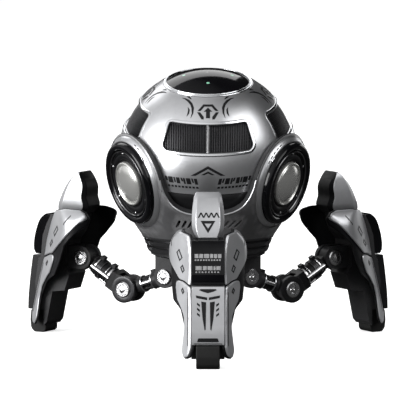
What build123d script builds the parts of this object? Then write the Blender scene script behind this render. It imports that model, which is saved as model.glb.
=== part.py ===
"""Ball speaker on a three-legged armoured stand.

Row frame: origin on the body's axis at the underside of the base, +Z up, front leg towards -Y.
A ball with four grille windows rests in a cradle with three lobes, and lifts straight out of it.
Three legs hang from the base, each with a hip, an elbow and a shin pivot.
"""
from build123d import *
from math import cos, radians, sin, sqrt, tan
import os

os.makedirs("parts", exist_ok=True)

# ---------------------------------------------------------------- driving dimensions, millimetres
FLOOR_Z = -43.5                 # the surface that the toes stand on

BALL_R = 45.0
BALL_Z = 50.0                   # ball centre above the base's underside
BALL_TILT = 14.0                # the seated ball leans forward by this angle
SHELL_WALL = 2.2
SEAM_Z = -3.9                   # seam between the ball's shells, below its centre
TOP_PLANE = 39.0                # the ball is cut flat here for the touch panel
PANEL_R = 20.6
RING_OUT_R = 22.4
LED_CIRCLE_R = 12.0

SEAM_GAP = 0.3
SCREW_X = 17.0                  # the lower shell's screws, from the ball's axis
SCREW_Y = 25.5
DRIVER_LATITUDE = 30.5
DRIVER_DISTANCE = 36.5
PORT_Z = 3.4
PORT_WIDTH = 9.4
PORT_BACK = 38.8
PORT_HEIGHT = 3.6

CRADLE_R = 49.0
BOWL_R = 45.4                   # inside of the cradle, a little larger than the ball
LOBE_LATITUDE = -13.7           # direction of the lobes and driver discs
LOBE_ANGLE = 30.0               # half-angle of a lobe, seen from the ball's centre
BAND_TOP_Z = 11.6               # top of the stepped bands
BAND_LOW_Z = 3.4
BAND_TOP_R = 33.2
BAND_LOW_R = 29.7
HUB_R = 26.0
PAD_R = 12.0
PAD_T = 1.0

SCREW_CIRCLE_R = 19.0
WEB_ANGLE = 74.0                # the bowl's wall is drawn up to here, then cut down into valleys

DISC_SEAT = 41.2                # flat seat for a driver disc, from the ball's centre
BEZEL_R = 23.6
RING_R = 20.9
TRIM_R = 17.0
CONE_R = 16.0
DOME_R = 11.2

LEG_AZIMUTHS = {"front": 0.0, "right": 120.0, "left": -120.0}
LOBE_AZIMUTHS = (60.0, 180.0, -60.0)

HIP = (22.3, 32.6)              # pivots: distance from the axis, height above the floor
ELBOW = (46.3, 24.75)
SHIN = (71.5, 39.6)
PIN_R = 2.0
PIN_HEAD_R = 4.0
PIN_HEAD_T = 1.0
RUNNING_GAP = 0.05
EAR_IN = 3.0                    # a fork's ears stand between these distances from its middle
EAR_OUT = 5.4
EYE_HALF = 2.7                  # half the width of an eye between two ears
EYE_R = 5.2
EAR_R = 5.8
ELBOW_EAR_R = 6.8
INNER_BARREL_R = 3.4
OUTER_BARREL_R = 4.6

CORE_HALF = 8.0                 # half the width of a shin's core, screen and plate
NECK_HALF = 5.0
TOE_HALF = 5.8


# ---------------------------------------------------------------- frames and helpers
def direction(azimuth, latitude):
    """Unit vector: azimuth from the front leg towards +X, latitude above the horizon."""
    a = radians(azimuth)
    b = radians(latitude)
    return Vector(cos(b) * sin(a), -cos(b) * cos(a), sin(b))


BALL_CENTRE = Vector(0, 0, BALL_Z)
SIDE = Plane(origin=(0, 0, FLOOR_Z), x_dir=(0, -1, 0), z_dir=(-1, 0, 0))
SECTION = Plane(origin=(0, 0, 0), x_dir=(0, -1, 0), z_dir=(-1, 0, 0))
SEATED_BALL = Location((0, 0, BALL_Z), (BALL_TILT, 0, 0))


def disc_plane(azimuth, distance=0.0):
    """Plane square to a driver disc's axis, at a distance from the ball's centre."""
    axis = direction(azimuth, LOBE_LATITUDE)
    across = Vector(cos(radians(azimuth)), sin(radians(azimuth)), 0)
    return Plane(origin=BALL_CENTRE + axis * distance, x_dir=across, z_dir=axis)


def link_plane(start, end):
    """Plane of a link seen from the side: origin at its first pivot, x towards the next one."""
    first = SIDE.from_local_coords(start)
    last = SIDE.from_local_coords(end)
    return Plane(origin=first, x_dir=last - first, z_dir=SIDE.z_dir)


def span(start, end):
    """Distance between two pivots."""
    return sqrt((end[0] - start[0]) ** 2 + (end[1] - start[1]) ** 2)


def across(plane, distance):
    """Plane square to a link, at a distance along it."""
    return Plane(origin=plane.from_local_coords((distance, 0)), x_dir=plane.z_dir, z_dir=plane.x_dir)


def write(name, piece, location=Location()):
    """Label a finished piece at its place in the row and write its STEP file."""
    with BuildPart() as placed:
        with Locations(location):
            add(piece)
    placed.part.label = name
    export_step(placed.part, f"parts/{name}.step")


# ---------------------------------------------------------------- cradle
def around(radius, angle):
    """Point of a half section, at an angle up from straight below the ball's centre."""
    return (radius * sin(radians(angle)), BALL_Z - radius * cos(radians(angle)))


with BuildPart() as lobe_cones:
    for azimuth in LOBE_AZIMUTHS:
        with Locations(disc_plane(azimuth, 45.0)):
            Cone(30.0 * tan(radians(LOBE_ANGLE)), 60.0 * tan(radians(LOBE_ANGLE)), 30.0)

with BuildPart() as lobes:
    # The upper wall, spherical outside and straight inside, kept only within one cone for each lobe.
    with BuildSketch(SECTION):
        with BuildLine():
            ThreePointArc(around(CRADLE_R, 112.0), around(CRADLE_R, 80.0), around(CRADLE_R, 46.0))
            Line(around(CRADLE_R, 46.0), around(BOWL_R, 46.0))
            ThreePointArc(around(BOWL_R, 46.0), around(BOWL_R, 70.0), around(BOWL_R, 90.0))
            Polyline(around(BOWL_R, 90.0), (BOWL_R, around(CRADLE_R, 112.0)[1]),
                     around(CRADLE_R, 112.0))
        make_face()
    revolve(axis=Axis.Z)
    add(lobe_cones.part, mode=Mode.INTERSECT)

VALLEY_RIM = ((29.4, -9.0), (27.6, -17.0), (24.0, -24.0), (18.0, -28.3), (9.0, -30.6), (0.0, -31.0))


def seen_from_centre(azimuth, latitude, distance):
    """Where a direction from the ball's centre meets a plane square to the front leg's direction."""
    height = distance * tan(radians(latitude)) / cos(radians(azimuth))
    return (distance * tan(radians(azimuth)), BALL_Z + height)


with BuildPart() as valley_form:
    # Each valley is a radial cut, so its two outlines are the same curve seen from the ball's centre.
    for distance in (20.0, 60.0):
        right_side = [seen_from_centre(a, b, distance) for a, b in VALLEY_RIM]
        left_side = [(-x, z) for x, z in reversed(right_side[:-1])]
        with BuildSketch(Plane(origin=(0, -distance, 0), x_dir=(1, 0, 0), z_dir=(0, -1, 0))):
            with BuildLine():
                Spline(right_side + left_side)
                Line(left_side[-1], right_side[0])
            make_face()
    loft(ruled=True)


with BuildPart() as disc_seats:
    # What each driver disc takes out of its lobe: a flat seat, and a round opening through it.
    for azimuth in LOBE_AZIMUTHS:
        with BuildSketch(disc_plane(azimuth, DISC_SEAT)):
            Circle(BEZEL_R)
        extrude(amount=12.0)
        with BuildSketch(disc_plane(azimuth, DISC_SEAT)):
            Circle(RING_R)
        extrude(amount=-8.0)

with BuildPart() as vent_slots:
    # Three slanted slits beside each valley.
    for side in (-1, 1):
        for step in range(3):
            azimuth = side * (13.0 + 4.6 * step)
            with BuildSketch(Plane(origin=BALL_CENTRE, x_dir=direction(azimuth + 90.0, 0.0),
                                   z_dir=direction(azimuth, -37.5))):
                SlotOverall(5.6, 1.3, rotation=58.0)
            extrude(amount=60.0)

with BuildPart() as cradle_shell:
    with BuildSketch(SECTION):
        with BuildLine():
            rim = around(CRADLE_R, WEB_ANGLE)
            bend = around(CRADLE_R, 55.0)                # the wall runs straight from here to the bands
            ThreePointArc(rim, around(CRADLE_R, 65.0), bend)
            Polyline(bend, (BAND_TOP_R, BAND_TOP_Z), (HUB_R, BAND_TOP_Z), (HUB_R, BAND_LOW_Z),
                     (0, BAND_LOW_Z), around(BOWL_R, 0.0))
            ThreePointArc(around(BOWL_R, 0.0), around(BOWL_R, 30.0), around(BOWL_R, WEB_ANGLE))
            Line(around(BOWL_R, WEB_ANGLE), rim)
        make_face()
    revolve(axis=Axis.Z)
    with PolarLocations(0, 3):
        add(valley_form.part, mode=Mode.SUBTRACT)
    add(lobes.part)
    add(disc_seats.part, mode=Mode.SUBTRACT)
    with PolarLocations(0, 3):
        add(vent_slots.part, mode=Mode.SUBTRACT)
write("cradle_shell", cradle_shell.part)

with BuildPart() as base_ring:
    # Stepped bands around the hub, with three grooves.
    with BuildSketch(SECTION):
        with BuildLine():
            Polyline((HUB_R, BAND_TOP_Z), (BAND_TOP_R, BAND_TOP_Z), (BAND_TOP_R - 0.5, 10.4),
                     (31.0, 10.2), (31.0, 9.4), (32.0, 9.2), (31.3, 7.2), (29.8, 7.0), (29.8, 6.2),
                     (30.8, 6.0), (30.4, 4.6), (BAND_LOW_R, BAND_LOW_Z), (HUB_R, BAND_LOW_Z),
                     (HUB_R, BAND_TOP_Z))
        make_face()
    revolve(axis=Axis.Z)
write("base_ring", base_ring.part)

with BuildPart() as base_plate:
    with BuildSketch(SECTION):
        with BuildLine():
            Polyline((0, 0), (PAD_R, 0), (PAD_R, PAD_T), (26.6, PAD_T), (28.6, 2.0),
                     (28.6, BAND_LOW_Z), (0, BAND_LOW_Z), (0, 0))
        make_face()
    revolve(axis=Axis.Z)
    with BuildSketch(Plane.XY.offset(PAD_T)):
        with PolarLocations(SCREW_CIRCLE_R, 3, start_angle=90.0):
            Circle(1.6)
    extrude(amount=2.0, mode=Mode.SUBTRACT)
write("base_plate", base_plate.part)

with BuildPart() as base_screw:
    with BuildSketch(SECTION):
        with BuildLine():
            Polyline((0, 0.1), (1.2, 0.1), (2.6, 0.9), (2.6, PAD_T), (1.6, PAD_T), (1.6, 3.0),
                     (0, 3.0), (0, 0.1))
        make_face()
    revolve(axis=Axis.Z)
with BuildPart() as base_screws:
    with PolarLocations(SCREW_CIRCLE_R, 3, start_angle=90.0):
        add(base_screw.part)
write("base_screws", base_screws.part)


# ---------------------------------------------------------------- driver discs, one on each lobe
def disc_set(profile):
    """Three copies of a round piece, from its half section of radius and distance from the ball's centre."""
    with BuildPart() as one:
        with BuildSketch(SECTION):
            with BuildLine():
                Polyline(profile + [profile[0]])
            make_face()
        revolve(axis=Axis.Z)
    with BuildPart() as three:
        for azimuth in LOBE_AZIMUTHS:
            with Locations(disc_plane(azimuth)):
                add(one.part)
    return three.part


BACK = 0.4                      # the discs' backs stay this far outside the bowl


def clear_of_bowl(radius):
    """Distance from the ball's centre at which a disc's back clears the bowl at this radius."""
    return sqrt((BOWL_R + BACK) ** 2 - radius ** 2)


DISC_SECTIONS = {
    "driver_bezels": [(RING_R, DISC_SEAT), (BEZEL_R, DISC_SEAT), (BEZEL_R, 42.7), (23.0, 43.6),
                      (21.8, 44.8), (RING_R, 45.2)],
    "driver_rings": [(TRIM_R, clear_of_bowl(TRIM_R)), (RING_R, clear_of_bowl(TRIM_R)), (RING_R, 46.4),
                     (20.3, 47.5), (19.2, 48.1), (18.2, 47.9), (17.3, 47.2), (TRIM_R, 46.6)],
    "driver_trims": [(CONE_R, clear_of_bowl(CONE_R)), (TRIM_R, clear_of_bowl(CONE_R)), (TRIM_R, 47.0),
                     (16.6, 47.5), (16.2, 47.3), (CONE_R, 46.8)],
    "driver_cones": [(DOME_R, clear_of_bowl(DOME_R)), (CONE_R, clear_of_bowl(DOME_R)), (CONE_R, 46.4),
                     (14.6, 46.1), (12.6, 45.9), (DOME_R, 46.2)],
    "driver_domes": [(0, BOWL_R + BACK), (DOME_R, BOWL_R + BACK), (DOME_R, 47.2), (10.6, 47.8),
                     (10.0, 47.4), (8.0, 48.3), (5.0, 49.1), (2.5, 49.4), (0, 49.5)],
}
for disc_name, disc_section in DISC_SECTIONS.items():
    write(disc_name, disc_set(disc_section))


# ---------------------------------------------------------------- legs, drawn as the front leg
def fork_pin():
    """A pin between a fork's two ears, on the origin along X, with a domed head at each end."""
    with BuildPart() as pin:
        with BuildSketch(SECTION):
            with BuildLine():
                Polyline((0, 0), (PIN_R, 0), (PIN_R, EAR_OUT), (PIN_HEAD_R, EAR_OUT),
                         (PIN_HEAD_R, EAR_OUT + 0.6), (3.5, EAR_OUT + PIN_HEAD_T),
                         (2.6, EAR_OUT + PIN_HEAD_T), (2.4, EAR_OUT + 0.7), (2.0, EAR_OUT + 0.7),
                         (1.7, EAR_OUT + 1.2), (0, EAR_OUT + 1.5), (0, 0))
            make_face()
        revolve(axis=Axis.Z)
        mirror(about=Plane.XY)
    return pin.part


PIN = fork_pin()


def pin_at(pivot):
    """The fork pin, turned across the leg at a pivot."""
    with BuildPart() as pin:
        with Locations(Location(Plane(origin=SIDE.from_local_coords(pivot), z_dir=(1, 0, 0)))):
            add(PIN)
    return pin.part


def bore(pivot, radius):
    """Rod straight across the leg at a pivot, to cut a hole with."""
    with BuildPart() as rod:
        with BuildSketch(SIDE):
            with Locations(pivot):
                Circle(radius)
        extrude(amount=20.0, both=True)
    return rod.part


with BuildPart() as hip_bracket:
    for side in (EAR_IN, -EAR_OUT):
        with BuildSketch(SIDE.offset(side)):
            with Locations(HIP):
                Circle(EAR_R)
            with Locations((HIP[0], 40.0)):
                Rectangle(10.4, 9.0)
        extrude(amount=EAR_OUT - EAR_IN)
    with BuildSketch(SIDE):
        with Locations((HIP[0], 43.1)):
            Rectangle(10.4, 2.8)
    extrude(amount=EAR_OUT, both=True)
    add(bore(HIP, PIN_R), mode=Mode.SUBTRACT)
with BuildPart() as hip_bracket_set:
    with PolarLocations(0, 3):
        add(hip_bracket.part)
write("hip_brackets", hip_bracket_set.part)

with BuildPart() as hip_pin_set:
    with PolarLocations(0, 3):
        add(pin_at(HIP))
write("hip_pins", hip_pin_set.part)

INNER = link_plane(HIP, ELBOW)
INNER_SPAN = span(HIP, ELBOW)
OUTER = link_plane(ELBOW, SHIN)
OUTER_SPAN = span(ELBOW, SHIN)


with BuildPart() as inner_link:
    # An eye at each end on a flat neck, a round barrel between them, and a small tab on top.
    with BuildSketch(INNER):
        with Locations((0, 0), (INNER_SPAN, 0)):
            Circle(EYE_R)
        with Locations((INNER_SPAN / 2, 0)):
            Rectangle(INNER_SPAN, 6.0)
    extrude(amount=EYE_HALF, both=True)
    with BuildSketch(across(INNER, 6.4)):
        Circle(INNER_BARREL_R)
    extrude(amount=INNER_SPAN - 6.4 - 7.4)
    for start in (6.4, INNER_SPAN - 7.4 - 3.2):
        with BuildSketch(across(INNER, start)):
            Circle(4.2)
        extrude(amount=3.2)
    with BuildSketch(INNER):
        with Locations((8.0, 4.6)):
            Rectangle(2.4, 2.0)
    extrude(amount=1.4, both=True)
    add(bore(HIP, PIN_R + RUNNING_GAP), mode=Mode.SUBTRACT)
    add(bore(ELBOW, PIN_R + RUNNING_GAP), mode=Mode.SUBTRACT)

with BuildPart() as outer_link:
    # A fork with round ears at the elbow, a thick damper barrel, and an eye at the shin.
    for side in (EAR_IN, -EAR_OUT):
        with BuildSketch(OUTER.offset(side)):
            Circle(ELBOW_EAR_R)
            with Locations((5.0, 0)):
                Rectangle(10.0, 9.2)
        extrude(amount=EAR_OUT - EAR_IN)
    with BuildSketch(OUTER):
        with Locations((8.6, 0)):
            Rectangle(3.0, 9.2)
    extrude(amount=EAR_OUT, both=True)
    with BuildSketch(across(OUTER, 9.0)):
        Circle(OUTER_BARREL_R)
    extrude(amount=OUTER_SPAN - 9.0 - 7.0)
    with BuildSketch(OUTER):
        with Locations((OUTER_SPAN, 0)):
            Circle(EYE_R)
        with Locations((OUTER_SPAN - 5.0, 0)):
            Rectangle(10.0, 6.4)
    extrude(amount=EYE_HALF, both=True)
    with BuildSketch(OUTER):
        with Locations((12.5, 5.2), (20.0, 5.2)):
            Rectangle(2.2, 2.0)
    extrude(amount=1.6, both=True)
    add(bore(ELBOW, PIN_R), mode=Mode.SUBTRACT)
    add(bore(SHIN, PIN_R + RUNNING_GAP), mode=Mode.SUBTRACT)


def side_rods(plane, start, end, offset, radius):
    """Two thin rods beside a barrel, one on each side."""
    with BuildPart() as rods:
        with BuildSketch(across(plane, start)):
            with Locations((offset, 0), (-offset, 0)):
                Circle(radius)
        extrude(amount=end - start)
    return rods.part


with BuildPart() as inner_rods:
    add(side_rods(INNER, 9.7, INNER_SPAN - 10.7, 3.8, 1.1))
    add(inner_link.part, mode=Mode.SUBTRACT)

with BuildPart() as outer_rods:
    add(side_rods(OUTER, 10.2, OUTER_SPAN - 7.4, 5.0, 1.2))
    add(outer_link.part, mode=Mode.SUBTRACT)

# ---------------------------------------------------------------- shin
FRONT_OF_CORE = [(87.6, 61.0), (90.4, 55.6), (92.5, 50.0), (93.5, 40.0), (95.0, 38.0), (97.0, 26.0),
                 (96.0, 12.0)]

with BuildPart() as shin_core:
    with BuildSketch(SIDE):
        with BuildLine():
            Polyline(FRONT_OF_CORE + [(92.0, 12.0), (92.0, 4.0), (90.2, 6.1), (86.8, 21.7), (79.6, 22.6),
                                      (76.6, 31.0), (79.5, 35.2), (79.5, 48.0), (76.0, 52.0),
                                      (73.4, 58.0), (73.0, 61.0), (87.6, 61.0)])
        make_face()
    extrude(amount=CORE_HALF, both=True)
    with BuildSketch(SIDE):
        with Locations((78.0, 62.6)):
            Rectangle(13.0, 5.2)
    extrude(amount=NECK_HALF, both=True)
    for side in (EAR_IN, -EAR_OUT):
        with BuildSketch(SIDE.offset(side)):
            with Locations(SHIN):
                Circle(EAR_R)
            with Locations((SHIN[0] + 5.0, SHIN[1])):
                Rectangle(10.0, 2 * EAR_R)
        extrude(amount=EAR_OUT - EAR_IN)
    add(bore(SHIN, PIN_R), mode=Mode.SUBTRACT)

with BuildPart() as screen_panel:
    with BuildSketch(SIDE):
        with BuildLine():
            Polyline([(93.3, 42.0)] + FRONT_OF_CORE[2::-1] + [(90.6, 61.6)])
            Spline((90.6, 61.6), (94.0, 58.8), (96.6, 52.6), (97.8, 47.0), (97.8, 42.6))
            Polyline((97.8, 42.6), (96.8, 40.6), (93.44, 40.6), (93.3, 42.0))
        make_face()
    extrude(amount=CORE_HALF, both=True)

with BuildPart() as shin_plate:
    with BuildSketch(SIDE):
        with BuildLine():
            Polyline([(93.5, 40.0)] + FRONT_OF_CORE[4:] + [(101.4, 12.0)])
            Spline((101.4, 12.0), (101.2, 18.0), (100.4, 26.0), (99.5, 33.0), (98.4, 40.0))
            Line((98.4, 40.0), (93.5, 40.0))
        make_face()
    extrude(amount=CORE_HALF, both=True)

with BuildPart() as toe:
    with BuildSketch(SIDE):
        with BuildLine():
            Polyline((92.0, 12.0), (92.0, 1.6), (93.2, 0), (99.6, 0), (101.4, 2.0), (101.8, 6.0),
                     (101.0, 12.0), (92.0, 12.0))
        make_face()
    extrude(amount=TOE_HALF, both=True)

WING_SIDE = [(84.0, 63.6), (87.2, 57.4), (90.0, 48.0), (91.6, 39.4), (94.4, 29.0), (96.8, 19.0),
             (98.8, 10.0), (98.0, 5.6), (95.2, 4.4), (92.8, 8.0), (91.6, 19.0), (86.6, 27.6),
             (80.0, 31.6), (76.4, 39.0), (73.6, 47.0), (67.6, 53.0), (62.6, 57.0), (61.2, 60.6),
             (62.8, 63.4), (67.0, 64.8), (76.0, 65.0)]
WING_OUTER = [(101.4, 8.9), (98.0, 11.2), (93.0, 14.8), (87.5, 18.2), (83.5, 19.0), (80.0, 17.8),
              (76.8, 14.8), (74.0, 10.8)]
WING_ROOT = (101.8, 97.6)       # the root strip that is fixed to the core's side, at floor level
WING_LEAN = 0.251               # the wings' front edges lean back by this much for each unit of height
WING_WALL = 2.4
WING_SPAN = 24.0                # more than half the width across a pair of wings
WING_RISE = 70.0                # more than the wings' height
WING_REACH = (120.0, 50.0)      # planes well in front of the wings and well behind them
SHOULDER = [(21.0, 45.0), (20.0, 54.0), (17.2, 60.6), (12.6, 65.8)]
SHOULDER_WALL = (2.4, 1.2)      # how far the shoulder's inner face lies inwards and downwards


def wing_block(plan, shoulder):
    """Everything between the wings' leaning side faces, under their rounded shoulders."""
    with BuildPart() as block:
        with BuildSketch(Plane.XY.offset(FLOOR_Z)):
            with BuildLine():
                edge = Spline(plan)
                Polyline(edge @ 1, (0, -WING_REACH[1]), (0, -WING_REACH[0]), (CORE_HALF, -WING_REACH[0]),
                         (CORE_HALF, -WING_ROOT[0]), edge @ 0)
            make_face()
            mirror(about=Plane.YZ)
        extrude(amount=WING_RISE, dir=(0, WING_LEAN, 1))
        with BuildSketch(Plane(origin=(0, 0, FLOOR_Z), x_dir=(1, 0, 0), z_dir=(0, -1, 0))):
            with BuildLine():
                slope = Spline(shoulder)
                Polyline(slope @ 0, (shoulder[0][0], 0), (0, 0), (0, WING_RISE), (CORE_HALF, WING_RISE),
                         slope @ 1)
            make_face()
            mirror(about=Plane.YZ)
        extrude(amount=WING_REACH[0], mode=Mode.INTERSECT)
    return block.part


with BuildPart() as side_wings:
    # The side outline, kept only within a leaning band that flares out towards the body and is
    # drawn in again at its shoulders and at its tail.
    with BuildSketch(SIDE):
        with BuildLine():
            Polyline(WING_SIDE + [WING_SIDE[0]])
        make_face()
    extrude(amount=WING_SPAN, both=True)
    add(wing_block([(x, -u) for u, x in WING_OUTER], SHOULDER), mode=Mode.INTERSECT)
    hollow = [(CORE_HALF, -WING_ROOT[1])] + [(x - WING_WALL, -u) for u, x in WING_OUTER[2:]]
    add(wing_block(hollow, [(x - SHOULDER_WALL[0], z - SHOULDER_WALL[1]) for x, z in SHOULDER]),
        mode=Mode.SUBTRACT)

with BuildPart() as knee_cap:
    with BuildSketch(SIDE):
        with BuildLine():
            Polyline((71.8, 83.4), (67.4, 76.6), (67.6, 70.4), (66.2, 65.8), (69.2, 62.4), (85.2, 61.6),
                     (83.6, 68.6), (79.6, 76.8), (74.4, 82.4), (71.8, 83.4))
        make_face()
    extrude(amount=CORE_HALF, both=True)
    with BuildSketch(Plane(origin=(0, -60.0, FLOOR_Z), x_dir=(1, 0, 0), z_dir=(0, -1, 0))):
        with BuildLine():
            Polyline((-5.4, 61.0), (-7.8, 66.0), (-7.9, 72.0), (-6.6, 81.6), (-5.4, 84.0), (5.4, 84.0),
                     (6.6, 81.6), (7.9, 72.0), (7.8, 66.0), (5.4, 61.0), (-5.4, 61.0))
        make_face()
    extrude(amount=40.0, mode=Mode.INTERSECT)
    add(shin_core.part, mode=Mode.SUBTRACT)

LEG_PIECES = {
    "inner_link": inner_link.part,
    "inner_rods": inner_rods.part,
    "outer_link": outer_link.part,
    "outer_rods": outer_rods.part,
    "elbow_pin": pin_at(ELBOW),
    "shin_core": shin_core.part,
    "shin_pin": pin_at(SHIN),
    "side_wings": side_wings.part,
    "screen_panel": screen_panel.part,
    "shin_plate": shin_plate.part,
    "toe": toe.part,
    "knee_cap": knee_cap.part,
}
for leg, azimuth in LEG_AZIMUTHS.items():
    for piece_name, piece in LEG_PIECES.items():
        write(f"{leg}_{piece_name}", piece, Location((0, 0, 0), (0, 0, azimuth)))


# ---------------------------------------------------------------- ball, drawn upright about its own centre
def shell_arc(radius, low_z, high_z):
    """Arc of a ball's half section between two heights."""
    low = (sqrt(radius ** 2 - low_z ** 2), low_z)
    high = (sqrt(radius ** 2 - high_z ** 2), high_z)
    middle_z = (low_z + high_z) / 2
    return ThreePointArc(low, (sqrt(radius ** 2 - middle_z ** 2), middle_z), high)


SHELL_IN = BALL_R - SHELL_WALL
WINDOW_HALF_ANGLE = 34.0
WINDOW_LOW = 21.0
WINDOW_HIGH = 40.0

with BuildPart() as window_form:
    # A trapezoid between two meridians and two parallels, drawn on a plane square to the window's azimuth.
    with BuildSketch(Plane(origin=(0, -20.0, 0), x_dir=(1, 0, 0), z_dir=(0, -1, 0))):
        with BuildLine():
            low_z = BALL_R * sin(radians(WINDOW_LOW))
            high_z = BALL_R * sin(radians(WINDOW_HIGH))
            low_x = BALL_R * cos(radians(WINDOW_LOW)) * sin(radians(WINDOW_HALF_ANGLE))
            high_x = BALL_R * cos(radians(WINDOW_HIGH)) * sin(radians(WINDOW_HALF_ANGLE))
            Polyline((-low_x, low_z), (low_x, low_z), (high_x, high_z), (-high_x, high_z), (-low_x, low_z))
        make_face()
        fillet(vertices(), 2.6)
    extrude(amount=30.0)

with BuildPart() as upper_shell:
    with BuildSketch(SECTION):
        with BuildLine():
            outer = shell_arc(BALL_R, SEAM_Z, TOP_PLANE)
            inner = shell_arc(SHELL_IN, SEAM_Z, TOP_PLANE - 2.4)
            Line(outer @ 0, inner @ 0)
            Polyline(inner @ 1, (PANEL_R - 2.6, TOP_PLANE - 2.4), (PANEL_R - 2.6, TOP_PLANE), outer @ 1)
        make_face()
    revolve(axis=Axis.Z)
    with PolarLocations(0, 4):
        add(window_form.part, mode=Mode.SUBTRACT)
    with BuildSketch(Plane(origin=(0, 0, 0), x_dir=(-1, 0, 0), z_dir=(0, 1, 0))):
        with Locations((0, PORT_Z)):
            SlotOverall(PORT_WIDTH, PORT_HEIGHT)
    extrude(amount=60.0, mode=Mode.SUBTRACT)

with BuildPart() as window_grilles:
    with BuildSketch(SECTION):
        with BuildLine():
            outer = shell_arc(SHELL_IN + 1.0, 10.0, 34.0)
            inner = shell_arc(SHELL_IN - 0.4, 10.0, 34.0)
            Line(outer @ 0, inner @ 0)
            Line(outer @ 1, inner @ 1)
        make_face()
    revolve(axis=Axis.Z)
    with PolarLocations(0, 4):
        add(window_form.part, mode=Mode.INTERSECT)

with BuildPart() as shell_screw:
    # Countersunk screw standing on the origin, head down.
    with BuildSketch(SECTION):
        with BuildLine():
            Polyline((0, 0), (2.4, 0), (2.4, 0.6), (1.2, 1.8), (1.2, 10.0), (0, 10.0), (0, 0))
        make_face()
    revolve(axis=Axis.Z)

SCREW_PLACES = [(x, y) for x in (-SCREW_X, SCREW_X) for y in (-SCREW_Y, SCREW_Y)]
SCREW_HEAD_Z = -28.4
with BuildPart() as shell_screws:
    with Locations(*[(x, y, SCREW_HEAD_Z) for x, y in SCREW_PLACES]):
        add(shell_screw.part)

with BuildPart() as lower_shell:
    with BuildSketch(SECTION):
        with BuildLine():
            outer = shell_arc(BALL_R, -BALL_R, SEAM_Z - SEAM_GAP)
            inner = shell_arc(SHELL_IN, -SHELL_IN, SEAM_Z - SEAM_GAP)
            Line(outer @ 0, inner @ 0)
            Line(outer @ 1, inner @ 1)
        make_face()
    revolve(axis=Axis.Z)
    # A boss inside for each screw, and a well outside that reaches its head.
    with BuildSketch(Plane.XY.offset(SCREW_HEAD_Z)):
        with Locations(*SCREW_PLACES):
            Circle(3.6)
    extrude(amount=6.0)
    with BuildSketch(Plane.XY.offset(SCREW_HEAD_Z)):
        with Locations(*SCREW_PLACES):
            Circle(2.5)
    extrude(amount=-20.0, mode=Mode.SUBTRACT)
    add(shell_screws.part, mode=Mode.SUBTRACT)

with BuildPart() as chassis:
    # Round plate across the seam, with a post down to each screw boss and openings for the wiring.
    with BuildSketch(Plane.XY.offset(-1.5)):
        Circle(41.4)
        with PolarLocations(33.0, 4):
            SlotOverall(14.0, 6.0, rotation=90.0, mode=Mode.SUBTRACT)
    extrude(amount=2.5)
    with BuildSketch(Plane.XY.offset(-1.5)):
        with Locations(*SCREW_PLACES):
            Circle(3.0)
    extrude(amount=SCREW_HEAD_Z + 6.0 + 1.5)
    add(shell_screws.part, mode=Mode.SUBTRACT)

with BuildPart() as top_ring:
    with BuildSketch(SECTION):
        with BuildLine():
            Polyline((PANEL_R, TOP_PLANE), (RING_OUT_R, TOP_PLANE), (RING_OUT_R, 39.3), (22.0, 39.7),
                     (21.7, 39.7), (21.6, 39.4), (21.3, 39.4), (21.2, 40.0), (20.9, 40.3),
                     (PANEL_R, 40.1), (PANEL_R, TOP_PLANE))
        make_face()
    revolve(axis=Axis.Z)

with BuildPart() as led_form:
    with BuildSketch(Plane.XY.offset(TOP_PLANE + 3.0)):
        with PolarLocations(LED_CIRCLE_R, 4):
            Circle(0.8)
    extrude(amount=5.0)

with BuildPart() as top_panel:
    # Glossy cap that carries the sphere on over the flat.
    with BuildSketch(SECTION):
        with BuildLine():
            cap_r = BALL_R - 0.3
            edge = (PANEL_R, sqrt(cap_r ** 2 - PANEL_R ** 2))
            ThreePointArc(edge, (cap_r * sin(radians(13.0)), cap_r * cos(radians(13.0))), (0, cap_r))
            Polyline((0, cap_r), (0, TOP_PLANE), (PANEL_R, TOP_PLANE), edge)
        make_face()
    revolve(axis=Axis.Z)
    cap_solid = top_panel.part
    add(led_form.part, mode=Mode.SUBTRACT)

with BuildPart() as status_leds:
    add(cap_solid)
    add(led_form.part, mode=Mode.INTERSECT)

with BuildPart() as speaker_frame:
    # Basket, magnet and flange of one driver, on the origin and facing up.
    with BuildSketch(SECTION):
        with BuildLine():
            Polyline((0, -13.0), (8.0, -13.0), (8.0, -6.0), (13.2, -1.4), (15.0, -1.4), (15.0, 0),
                     (12.4, 0), (7.0, -5.4), (0, -5.4), (0, -13.0))
        make_face()
    revolve(axis=Axis.Z)
    with PolarLocations(13.8, 4, start_angle=45.0):
        Hole(0.5)

with BuildPart() as speaker_cone:
    with BuildSketch(SECTION):
        with BuildLine():
            Polyline((0, -2.2), (2.0, -2.8), (4.2, -4.6), (4.2, -5.4), (7.0, -5.4), (12.4, 0),
                     (11.4, 0.4), (6.4, -4.2), (4.6, -2.2), (2.0, -0.9), (0, -0.6), (0, -2.2))
        make_face()
    revolve(axis=Axis.Z)


def behind_windows(piece):
    """One copy of a driver's piece behind each window."""
    with BuildPart() as four:
        for azimuth in (0.0, 90.0, 180.0, 270.0):
            axis = direction(azimuth, DRIVER_LATITUDE)
            with Locations(Plane(origin=axis * DRIVER_DISTANCE, z_dir=axis)):
                add(piece)
    return four.part


CELL_R = 9.2
CELL_LENGTH = 65.0
with BuildPart() as battery:
    # Two cells side by side, lying across the ball under the chassis.
    with BuildSketch(Plane(origin=(-CELL_LENGTH / 2, 0, -12.0), x_dir=(0, 1, 0), z_dir=(1, 0, 0))):
        with Locations((-CELL_R - 0.1, 0), (CELL_R + 0.1, 0)):
            Circle(CELL_R)
    extrude(amount=CELL_LENGTH)

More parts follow.
